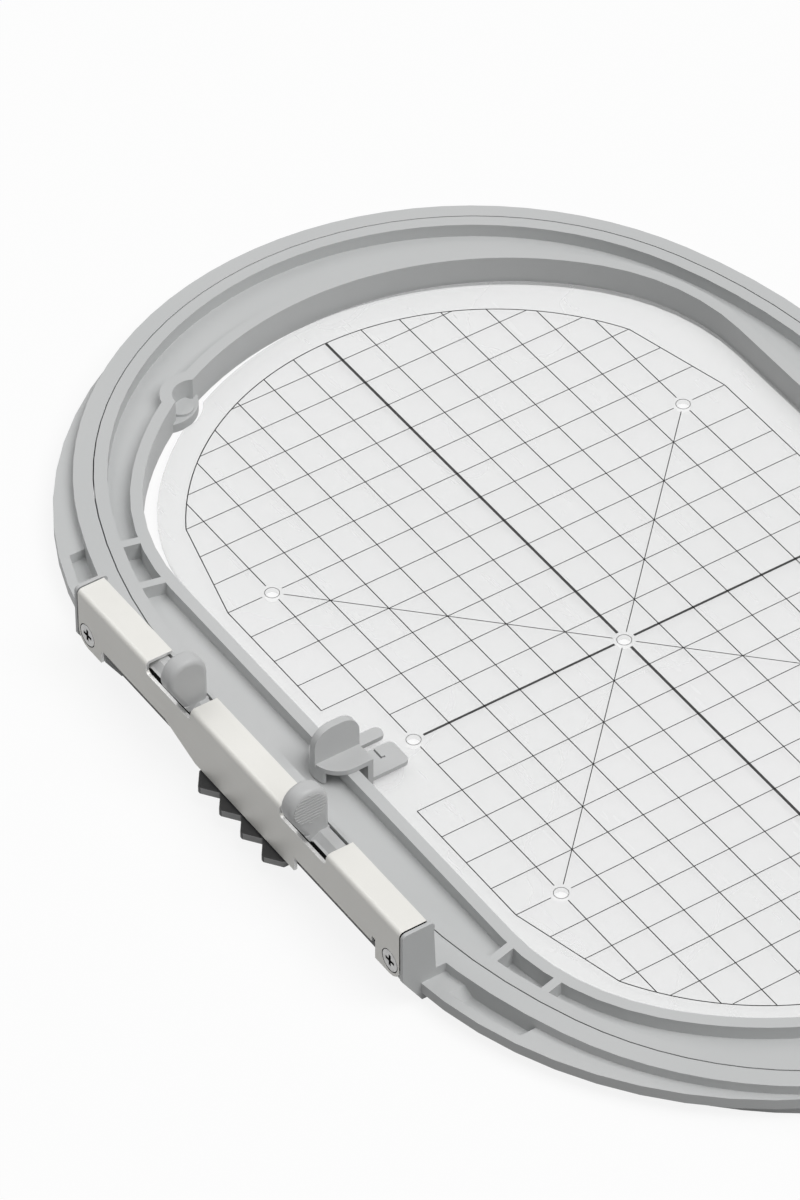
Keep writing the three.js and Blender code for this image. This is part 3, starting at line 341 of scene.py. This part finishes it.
def narrow_troughs(piece):
    """Gives both troughs a wider lip and a steeper far end."""
    move_corners(piece, lip_wall, (LIP_GROWTH, 0, 0), FLANGE_TOP)
    for side in (-1, 1):
        step = END_SHIFT * Vector((1, side, 1))
        move_corners(piece, end_slope(side), step, TROUGH_FLOOR)


# Release sliders


def tab_body(end):
    """The finger tab alone, sunk a little into the slider's plate, with the rims of both faces rounded."""
    inner, outer = TAB_FACES[end]
    side = math.copysign(1, outer)
    tab = merged_copy(f"release_slider_{end}", f"tab_{end}")
    cut(tab, (0, inner + side * SLIVER, 0), (0, -side, 0))
    cut(tab, (0, outer - side * SLIVER, 0), (0, side, 0))
    cut(tab, (0, 0, TAB_ROOT - TAB_SUNK), (0, 0, -1))
    only(tab)
    bpy.ops.object.mode_set(mode="EDIT")
    bpy.ops.mesh.select_all(action="DESELECT")
    bpy.ops.mesh.select_mode(type="EDGE")
    bpy.ops.object.mode_set(mode="OBJECT")
    corners = tab.data.vertices
    for edge in tab.data.edges:
        tips = [corners[index].co for index in edge.vertices]
        on_face = any(all(abs(tip.y - y) < 2 * SLIVER for tip in tips) for y in (inner, outer))
        edge.select = on_face and max(tip.z for tip in tips) > TAB_ROOT + SLIVER
    bpy.ops.object.mode_set(mode="EDIT")
    bpy.ops.mesh.bevel(offset=TAB_ROUND, segments=TAB_ROUND_STEPS, affect="EDGES", clamp_overlap=True)
    bpy.ops.object.mode_set(mode="OBJECT")
    return tab


def tab_ribs(end):
    """The fine ribs on the tab's outer face, kept clear of its rounded rim."""
    outer = TAB_FACES[end][1]
    side = math.copysign(1, outer)
    ribs = merged_copy(f"release_slider_{end}", f"ribs_{end}")
    cut(ribs, (0, outer + side * SLIVER, 0), (0, -side, 0))
    cut(ribs, (0, 0, TAB_ROOT + SLIVER), (0, 0, -1))
    bpy.ops.object.mode_set(mode="EDIT")
    bpy.ops.mesh.select_all(action="SELECT")
    bpy.ops.transform.translate(value=(0, -side * 3 * SLIVER, 0))
    bpy.ops.object.mode_set(mode="OBJECT")
    bpy.ops.object.select_all(action="DESELECT")
    bpy.ops.mesh.primitive_cylinder_add(
        vertices=RIB_STEPS,
        radius=RIB_REACH,
        depth=RIB_DEPTH,
        location=TAB_HEAD + Vector((0, outer, 0)),
        rotation=(math.pi / 2, 0, 0),
    )
    disc = bpy.context.active_object
    apply_modifier(ribs, "BOOLEAN", operation="INTERSECT", object=disc, solver="EXACT")
    only(disc)
    bpy.ops.object.delete()
    return ribs


def slider_moulding(end):
    """Release slider: its plate and stem, with the rounded tab and its ribs."""
    node = f"release_slider_{end}"
    plate = merged_copy(node, f"{node}_moulding")
    cut(plate, (0, 0, TAB_ROOT - SLIVER), (0, 0, 1))
    round_edges(plate, SLIDER_EDGE)
    tab = tab_body(end)
    ribs = tab_ribs(end)
    only(plate)
    tab.select_set(True)
    ribs.select_set(True)
    bpy.ops.object.join()
    smooth_shading(plate)
    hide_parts(node)
    return plate


def guide_face(face):
    """The slider's side that runs along the cover's inside, which gets painted shade for the shadow in the
    gap.
    """
    return face.normal.x < -FACING and face.center.z < TAB_ROOT


def slider_spring(end):
    """Slider spring: a smooth-shaded copy of its coil, on the frame with a mesh of its own."""
    node = f"slider_spring_{end}"
    spring = merged_copy(node, f"{node}_coil", whole=False)
    smooth_shading(spring, COIL_ANGLE)
    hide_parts(node)
    dress(spring, "frame", zinc)
    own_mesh(spring)


# Coupling's cover, screws and comb


def end_edge(face):
    """The cover's two ends, which face the housing's caps across a narrow seam."""
    from_end = min(face.center.y - COVER_LOW.y, COVER_HIGH.y - face.center.y)
    return abs(face.normal.y) > FACING and from_end < SLIVER


def cut_edge(face):
    """The edges of the cover's windows and its lower edge, where the sheet was cut after coating."""
    across = abs(face.normal.z) > FACING and face.center.z < COVER_HIGH.z - EDGE_DROP
    return across or (abs(face.normal.y) > FACING and not end_edge(face))


def from_axis(face, middle):
    """Distance of a face from an axis along X."""
    return math.hypot(face.center.y - middle.y, face.center.z - middle.z)


def screw_seat(low, high):
    """A rule for the countersink in the cover round one of its screws."""
    middle = (low + high) / 2
    reach = (high.z - low.z) / 2 + SEAT_MARGIN

    def around(face):
        return from_axis(face, middle) < reach and abs(face.normal.x) < SEAT_FLAT

    return around


def drive_recess(low, high):
    """A rule for the faces inside the drive recess of a cover screw, whose head points along -X."""
    middle = (low + high) / 2

    def inside(face):
        depth = face.center.x - low.x
        return SLIVER < depth < DRIVE_DEPTH and from_axis(face, middle) < DRIVE_RADIUS

    return inside


def tooth_flank(face):
    """The comb's upright flanks that face -Y, which get a lighter grey as painted light."""
    flank = face.normal.y < -SLOPING and abs(face.normal.z) < FLANK_UPRIGHT
    return flank and face.center.x < CARRIER_LOW.x + COMB_REACH


# Finishes


def new_finish(name):
    """A node material, its shader and the object coordinates that its patterns read."""
    finish = bpy.data.materials.new(name)
    finish.use_nodes = True
    shader = finish.node_tree.nodes["Principled BSDF"]
    place = finish.node_tree.nodes.new("ShaderNodeTexCoord").outputs["Object"]
    return finish, shader, place


def stretched(finish, place, scale):
    """Coordinates drawn out along one axis, for brushed or scratched marks."""
    mapping = finish.node_tree.nodes.new("ShaderNodeMapping")
    mapping.inputs["Scale"].default_value = scale
    finish.node_tree.links.new(place, mapping.inputs["Vector"])
    return mapping.outputs["Vector"]


def mottle(finish, place, scale, detail=3.0):
    """A cloudy pattern with about that many patches to the metre."""
    noise = finish.node_tree.nodes.new("ShaderNodeTexNoise")
    noise.inputs["Scale"].default_value = scale
    noise.inputs["Detail"].default_value = detail
    finish.node_tree.links.new(place, noise.inputs["Vector"])
    return noise.outputs["Fac"]


def tint(finish, shader, pattern, dark, light):
    """Colour that drifts between two shades."""
    ramp = finish.node_tree.nodes.new("ShaderNodeValToRGB")
    ramp.color_ramp.elements[0].position = PATTERN_LOW
    ramp.color_ramp.elements[0].color = (*dark, 1)
    ramp.color_ramp.elements[1].position = PATTERN_HIGH
    ramp.color_ramp.elements[1].color = (*light, 1)
    finish.node_tree.links.new(pattern, ramp.inputs["Fac"])
    finish.node_tree.links.new(ramp.outputs["Color"], shader.inputs["Base Color"])


def sheen_spread(finish, shader, pattern, low, high):
    """Roughness that varies between two values."""
    spread = finish.node_tree.nodes.new("ShaderNodeMapRange")
    spread.inputs["From Min"].default_value = PATTERN_LOW
    spread.inputs["From Max"].default_value = PATTERN_HIGH
    spread.inputs["To Min"].default_value = low
    spread.inputs["To Max"].default_value = high
    finish.node_tree.links.new(pattern, spread.inputs["Value"])
    finish.node_tree.links.new(spread.outputs["Result"], shader.inputs["Roughness"])


def relief(finish, shader, pattern, depth, strength):
    """Fine relief on the surface."""
    bump = finish.node_tree.nodes.new("ShaderNodeBump")
    bump.inputs["Strength"].default_value = strength
    bump.inputs["Distance"].default_value = depth
    finish.node_tree.links.new(pattern, bump.inputs["Height"])
    finish.node_tree.links.new(bump.outputs["Normal"], shader.inputs["Normal"])


def hoop_plastic():
    """Light cool grey moulding with a fine eroded grain."""
    finish, shader, place = new_finish("hoop_plastic")
    drift = mottle(finish, place, scale=14)
    tint(finish, shader, drift, dark=(0.535, 0.545, 0.545), light=(0.575, 0.58, 0.58))
    sheen_spread(finish, shader, mottle(finish, place, scale=60), low=0.42, high=0.54)
    grain = mottle(finish, place, scale=2600, detail=2.0)
    relief(finish, shader, grain, depth=0.02 * MM, strength=0.3)
    return finish


def grip_plastic():
    """Mid grey satin moulding of the grips, tabs and knob."""
    finish, shader, place = new_finish("grip_plastic")
    drift = mottle(finish, place, scale=30)
    tint(finish, shader, drift, dark=(0.52, 0.525, 0.525), light=(0.56, 0.565, 0.565))
    sheen_spread(finish, shader, mottle(finish, place, scale=140), low=0.4, high=0.52)
    grain = mottle(finish, place, scale=2200, detail=2.0)
    relief(finish, shader, grain, depth=0.02 * MM, strength=0.3)
    return finish


def clear_sheet(name, cover):
    """Clear sheet with faint drifts and hairline scuffs, which covers a share of what lies behind it."""
    finish, shader, place = new_finish(name)
    drift = mottle(finish, place, scale=9)
    tint(finish, shader, drift, dark=(0.8, 0.805, 0.805), light=(0.86, 0.865, 0.865))
    scuffs = stretched(finish, place, (300, 40, 300))
    sheen_spread(finish, shader, mottle(finish, scuffs, scale=1.0, detail=2.0), low=0.16, high=0.28)
    shader.inputs["Alpha"].default_value = cover
    shader.inputs["IOR"].default_value = 1.49
    return finish


def coated_steel():
    """Warm light coating over brushed sheet."""
    finish, shader, place = new_finish("coated_steel")
    drift = mottle(finish, place, scale=40)
    tint(finish, shader, drift, dark=(0.83, 0.82, 0.78), light=(0.87, 0.86, 0.82))
    brushed = stretched(finish, place, (2400, 60, 2400))
    sheen_spread(finish, shader, mottle(finish, brushed, scale=1.0), low=0.36, high=0.48)
    grain = mottle(finish, brushed, scale=1.0, detail=2.0)
    relief(finish, shader, grain, depth=0.01 * MM, strength=0.15)
    shader.inputs["Metallic"].default_value = 0.08
    return finish


def carrier_plastic(name, dark, light):
    """Matt moulding of the carrier and its comb."""
    finish, shader, place = new_finish(name)
    tint(finish, shader, mottle(finish, place, scale=60), dark, light)
    sheen_spread(finish, shader, mottle(finish, place, scale=250), low=0.42, high=0.58)
    grain = mottle(finish, place, scale=1900, detail=2.0)
    relief(finish, shader, grain, depth=0.03 * MM, strength=0.4)
    return finish


def bare_edge():
    """Bare steel where the coated sheet was cut."""
    finish, shader, place = new_finish("bare_edge")
    drift = mottle(finish, place, scale=600)
    tint(finish, shader, drift, dark=(0.74, 0.74, 0.73), light=(0.84, 0.84, 0.83))
    sheen_spread(finish, shader, mottle(finish, place, scale=900), low=0.4, high=0.52)
    shader.inputs["Metallic"].default_value = 0.6
    return finish


def plated_steel(name, dark, light):
    """Plated steel of the screws, latches and springs."""
    finish, shader, place = new_finish(name)
    tint(finish, shader, mottle(finish, place, scale=500), dark, light)
    sheen_spread(finish, shader, mottle(finish, place, scale=900), low=0.2, high=0.38)
    shader.inputs["Metallic"].default_value = 1.0
    return finish


def painted_shade():
    """Painted shade: near-black colour that stands in for shadow in seams, screw recesses and countersinks,
    and on the sliders' guide faces.
    """
    finish, shader, place = new_finish("painted_shade")
    drift = mottle(finish, place, scale=900)
    tint(finish, shader, drift, dark=(0.006, 0.006, 0.006), light=(0.02, 0.02, 0.02))
    sheen_spread(finish, shader, mottle(finish, place, scale=1200), low=0.6, high=0.8)
    shader.inputs["Specular IOR Level"].default_value = 0.1
    return finish


def template_ink():
    """Printed black lines, a little uneven in their cover."""
    finish, shader, place = new_finish("template_ink")
    drift = mottle(finish, place, scale=700)
    tint(finish, shader, drift, dark=(0.012, 0.012, 0.012), light=(0.03, 0.03, 0.03))
    sheen_spread(finish, shader, mottle(finish, place, scale=300), low=0.35, high=0.5)
    return finish


# Printed field of the template


def field_end_arc():
    """Radius and centre of the arc at each end of the printed field."""
    rise = FIELD_END - FIELD_CORNER_END
    radius = (FIELD_CORNER_SIDE**2 + rise**2) / (2 * rise)
    return radius, FIELD_END - radius


def field_half_length(x):
    """How far the printed field reaches along Y at a distance from its long axis."""
    side = abs(x)
    if side > FIELD_CORNER_SIDE:
        share = (FIELD_SIDE - side) / (FIELD_SIDE - FIELD_CORNER_SIDE)
        return FIELD_STRAIGHT + share * (FIELD_CORNER_END - FIELD_STRAIGHT)
    radius, centre = field_end_arc()
    return centre + math.sqrt(radius**2 - side**2)


def field_half_width(y):
    """How far the printed field reaches along X at a distance from its cross axis."""
    along = abs(y)
    if along < FIELD_NOTCH_HALF - INK:
        return FIELD_NOTCH_SIDE
    if along <= FIELD_STRAIGHT:
        return FIELD_SIDE
    if along <= FIELD_CORNER_END:
        share = (along - FIELD_STRAIGHT) / (FIELD_CORNER_END - FIELD_STRAIGHT)
        return FIELD_SIDE - share * (FIELD_SIDE - FIELD_CORNER_SIDE)
    radius, centre = field_end_arc()
    return math.sqrt(radius**2 - (along - centre) ** 2)


def marks():
    """Middles of the marking holes, from the printed field's middle."""
    corners = [(x, y) for x in (-MARK_SIDE, MARK_SIDE) for y in (-MARK_END, 0, MARK_END)]
    return [Vector((x, y, 0)) for x, y in [(0, 0), *corners]]


def mark_wall(face):
    """The walls of the marking holes."""
    near = min((face.center.xy - (PRINT_MIDDLE + mark).xy).length for mark in marks())
    return near < MARK_HOLE + MARK_MARGIN and abs(face.normal.z) < SLOPING


def clear_of_marks(start, end):
    """The stretches of a straight line that stay clear of the marking holes."""
    along = end - start
    length = along.length
    along.normalize()
    gaps = []
    for mark in marks():
        offset = mark.xy - start
        near = offset.dot(along)
        miss = (offset - along * near).length
        if miss < MARK_MARGIN and -MARK_CLEAR < near < length + MARK_CLEAR:
            gaps.append((near - MARK_CLEAR, near + MARK_CLEAR))
    stretches = []
    at = 0.0
    for low, high in sorted(gaps):
        if low > at:
            stretches.append((start + along * at, start + along * low))
        at = max(at, high)
    if at < length:
        stretches.append((start + along * at, end))
    return stretches


def ink_line(start, end, width):
    """One printed line, as flat strips that leave the marking holes clear."""
    strips = []
    for low, high in clear_of_marks(Vector(start), Vector(end)):
        run = high - low
        centre = (low + high) / 2
        bpy.ops.mesh.primitive_plane_add(
            size=1,
            location=PRINT_MIDDLE + Vector((centre.x, centre.y, 0)),
            rotation=(0, 0, math.atan2(run.y, run.x)),
        )
        strip = bpy.context.active_object
        strip.scale = (run.length, width, 1)
        strips.append(strip)
    return strips


def ink_ring(place, radius, width, steps):
    """A printed ring."""
    inside = radius - width / 2
    bpy.ops.mesh.primitive_circle_add(vertices=steps, radius=inside, location=place)
    ring = bpy.context.active_object
    bpy.ops.object.mode_set(mode="EDIT")
    bpy.ops.mesh.select_all(action="SELECT")
    bpy.ops.mesh.extrude_edges_move()
    growth = (inside + width) / inside
    bpy.ops.transform.resize(value=(growth, growth, 1), center_override=place)
    bpy.ops.object.mode_set(mode="OBJECT")
    return ring


def ink_end_arc(side):
    """The printed arc at one end of the field: a ring cut back to its sector."""
    radius, centre = field_end_arc()
    ring = ink_ring(PRINT_MIDDLE + Vector((0, side * centre, 0)), radius, COLUMN_LINE, ARC_STEPS)
    bpy.ops.object.mode_set(mode="EDIT")
    bpy.ops.mesh.select_all(action="SELECT")
    bpy.ops.mesh.bisect(
        plane_co=PRINT_MIDDLE + Vector((0, side * FIELD_CORNER_END, 0)),
        plane_no=(0, side, 0),
        clear_inner=True,
    )
    bpy.ops.object.mode_set(mode="OBJECT")
    return ring


def template_print():
    """Grid, cross lines, diagonals, hole rings and outline of the field, raised by the ink's thickness."""
    bpy.ops.object.select_all(action="DESELECT")
    strips = []
    for column in range(-GRID_COLUMNS, GRID_COLUMNS + 1):
        x = column * GRID
        half = field_half_length(x)
        strips += ink_line((x, -half), (x, half), COLUMN_LINE if column else LONG_LINE)
    for row in range(-GRID_ROWS, GRID_ROWS + 1):
        y = row * GRID
        half = field_half_width(y)
        strips += ink_line((-half, y), (half, y), ROW_LINE if row else CROSS_LINE)
    for across in (-1, 1):
        strips += ink_line((-across * MARK_SIDE, -MARK_END), (across * MARK_SIDE, MARK_END), DIAGONAL_LINE)
        for along in (-1, 1):
            side = across * FIELD_SIDE
            corner = (across * FIELD_CORNER_SIDE, along * FIELD_CORNER_END)
            shoulder = (side, along * FIELD_STRAIGHT)
            strips += ink_line((side, along * FIELD_NOTCH_HALF), shoulder, COLUMN_LINE)
            strips += ink_line(shoulder, corner, COLUMN_LINE)
    for along in (-1, 1):
        strips.append(ink_end_arc(along))
    for mark in marks():
        strips.append(ink_ring(PRINT_MIDDLE + mark, MARK_HOLE + RING_LINE, RING_LINE, RING_STEPS))
    piece = strips[0]
    only(piece)
    for strip in strips:
        strip.select_set(True)
    bpy.ops.object.join()
    bpy.ops.object.transform_apply(location=True, rotation=True, scale=True)
    piece.name = "template_print"
    apply_modifier(piece, "SOLIDIFY", thickness=INK, offset=1.0)
    return piece


# Floor, light and camera


def seen_white(tree, white, other):
    """White where the camera sees it, directly or in gloss and clear pieces, and another shader for light."""
    path = tree.nodes.new("ShaderNodeLightPath")
    seen = path.outputs["Is Camera Ray"]
    for kind in ("Is Glossy Ray", "Is Transmission Ray"):
        either = tree.nodes.new("ShaderNodeMath")
        either.operation = "MAXIMUM"
        tree.links.new(seen, either.inputs[0])
        tree.links.new(path.outputs[kind], either.inputs[1])
        seen = either.outputs[0]
    mix = tree.nodes.new("ShaderNodeMixShader")
    tree.links.new(seen, mix.inputs["Fac"])
    tree.links.new(other, mix.inputs[1])
    tree.links.new(white, mix.inputs[2])
    return mix.outputs[0]


def studio_floor():
    """White table that keeps a faint shadow."""
    bpy.ops.object.select_all(action="DESELECT")
    bpy.ops.mesh.primitive_plane_add(size=TABLE_SIZE, location=(0, 0, -TABLE_DROP))
    floor = bpy.context.active_object
    floor.name = "studio_floor"
    paint = bpy.data.materials.new("white_table")
    paint.use_nodes = True
    tree = paint.node_tree
    tree.nodes.remove(tree.nodes["Principled BSDF"])
    matt = tree.nodes.new("ShaderNodeBsdfDiffuse")
    matt.inputs["Color"].default_value = TABLE_SEEN
    glow = tree.nodes.new("ShaderNodeEmission")
    glow.inputs["Strength"].default_value = 1.0
    blend = tree.nodes.new("ShaderNodeMixShader")
    blend.inputs["Fac"].default_value = TABLE_GLOW
    tree.links.new(matt.outputs[0], blend.inputs[1])
    tree.links.new(glow.outputs[0], blend.inputs[2])
    dull = tree.nodes.new("ShaderNodeBsdfDiffuse")
    dull.inputs["Color"].default_value = TABLE_BOUNCE
    shown = seen_white(tree, blend.outputs[0], dull.outputs[0])
    tree.links.new(shown, tree.nodes["Material Output"].inputs["Surface"])
    floor.data.materials.append(paint)


def studio_world():
    """Even white surroundings."""
    world = bpy.data.worlds.new("white_studio")
    world.use_nodes = True
    tree = world.node_tree
    light = tree.nodes["Background"]
    light.inputs["Color"].default_value = WHITE
    light.inputs["Strength"].default_value = ROOM_LIGHT
    white = tree.nodes.new("ShaderNodeBackground")
    white.inputs["Color"].default_value = WHITE
    white.inputs["Strength"].default_value = 1.0
    shown = seen_white(tree, white.outputs[0], light.outputs[0])
    tree.links.new(shown, tree.nodes["World Output"].inputs["Surface"])
    bpy.context.scene.world = world


def soft_box(name, place, aim, size, power):
    """A large soft lamp that points at the hoop."""
    bpy.ops.object.light_add(type="AREA", location=place)
    lamp = bpy.context.active_object
    lamp.name = name
    lamp.data.shape = "SQUARE"
    lamp.data.size = size
    lamp.data.energy = power
    lamp.rotation_euler = (Vector(aim) - Vector(place)).to_track_quat("-Z", "Y").to_euler()


def photo_camera():
    """Camera at the photograph's place, turn and length of lens."""
    bpy.ops.object.camera_add(location=CAMERA_PLACE)
    camera = bpy.context.active_object
    camera.rotation_euler = (
        math.radians(CAMERA_TILT),
        math.radians(CAMERA_ROLL),
        math.radians(CAMERA_TURN),
    )
    camera.data.lens = CAMERA_LENS
    camera.data.sensor_width = CAMERA_SENSOR
    camera.data.clip_start = CAMERA_NEAR
    camera.data.clip_end = CAMERA_FAR
    bpy.context.scene.camera = camera


# The hoop's pieces in their finishes

hoop = hoop_plastic()
grip = grip_plastic()
sheet = clear_sheet("clear_sheet", SHEET_COVER)
wall = clear_sheet("mark_wall", WALL_COVER)
steel = coated_steel()
bare = bare_edge()
black = carrier_plastic("carrier_plastic", dark=(0.022, 0.022, 0.023), light=(0.034, 0.034, 0.035))
# Painted light: a lighter grey for the comb's -Y flanks, standing in for the light that falls on that side
flank_light = carrier_plastic("painted_light_plastic", dark=(0.3, 0.3, 0.3), light=(0.36, 0.36, 0.36))
zinc = plated_steel("zinc_steel", dark=(0.55, 0.55, 0.55), light=(0.68, 0.68, 0.67))
screw_steel = plated_steel("screw_steel", dark=(0.36, 0.36, 0.36), light=(0.46, 0.46, 0.455))
# Painted shade: a near-black finish that stands in for the shadow in seams, recesses and gaps
shade_paint = painted_shade()
ink = template_ink()

outer = rounded_copy("outer_hoop", "outer_hoop_moulding", HOOP_EDGE, reshape=narrow_troughs)
dress(outer, "frame", hoop)
inner = rounded_copy("inner_hoop", "inner_hoop_moulding", HOOP_EDGE, quarters=True)
dress(inner, "inner_ring", hoop)

template = rounded_copy("template", "template_sheet", SHEET_EDGE, whole=False)
dress(template, "placement_template", sheet)
refinish(template, wall, mark_wall)
for side in ("left", "right"):
    copy = rounded_copy(f"template_grip_{side}", f"template_grip_{side}_moulding", GRIP_EDGE)
    dress(copy, "placement_template", grip)

cover = rounded_copy("coupling_cover", "coupling_cover_sheet", COVER_EDGE)
dress(cover, "frame", steel)
refinish(cover, bare, cut_edge)
# Painted shade: the cover's end faces are coloured near-black for the shadow in the seam against the
# housing's caps
refinish(cover, shade_paint, end_edge)
carrier = rounded_copy("coupling_carrier", "coupling_carrier_moulding", CARRIER_EDGE)
dress(carrier, "frame", black)
# Painted light: the comb's -Y flanks are coloured lighter for the light that falls on them
refinish(carrier, flank_light, tooth_flank)
for end in ("upper", "lower"):
    slider = slider_moulding(end)
    dress(slider, f"slider_{end}", grip)
    # Painted shade: the guide face, seen through the gap under the cover, is coloured near-black for the
    # shadow in that gap
    refinish(slider, shade_paint, guide_face)
    copy = rounded_copy(f"latch_plate_{end}", f"latch_plate_{end}_pressing", LATCH_EDGE)
    dress(copy, f"slider_{end}", zinc)
    for kind in ("cover_screw", "carrier_screw"):
        copy = rounded_copy(f"{kind}_{end}", f"{kind}_{end}_turned", SCREW_EDGE)
        dress(copy, "frame", screw_steel)
        if kind == "cover_screw":
            screw_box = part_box(f"{kind}_{end}")
            # Painted shade: each cover screw's drive recess and the countersink round it are coloured
            # near-black for the shade inside them
            refinish(copy, shade_paint, drive_recess(*screw_box))
            refinish(cover, shade_paint, screw_seat(*screw_box))
    slider_spring(end)

knob = rounded_copy("clamp_knob", "clamp_knob_moulding", KNOB_EDGE)
dress(knob, "clamp_handle", grip)
clamp_screw = rounded_copy("clamp_screw", "clamp_screw_turned", CLAMP_EDGE)
dress(clamp_screw, "clamp_handle", zinc)
nut = rounded_copy("clamp_nut", "clamp_nut_pressed", CLAMP_EDGE)
dress(nut, "frame", zinc)
washer = rounded_copy("clamp_washer", "clamp_washer_pressed", WASHER_EDGE)
dress(washer, "frame", zinc)
dress(template_print(), "placement_template", ink)

studio_floor()
studio_world()
soft_box("key_lamp", KEY_PLACE, KEY_AIM, KEY_SIZE, KEY_POWER)
soft_box("back_lamp", BACK_PLACE, BACK_AIM, BACK_SIZE, BACK_POWER)
photo_camera()
bpy.context.scene.view_settings.view_transform = "Standard"
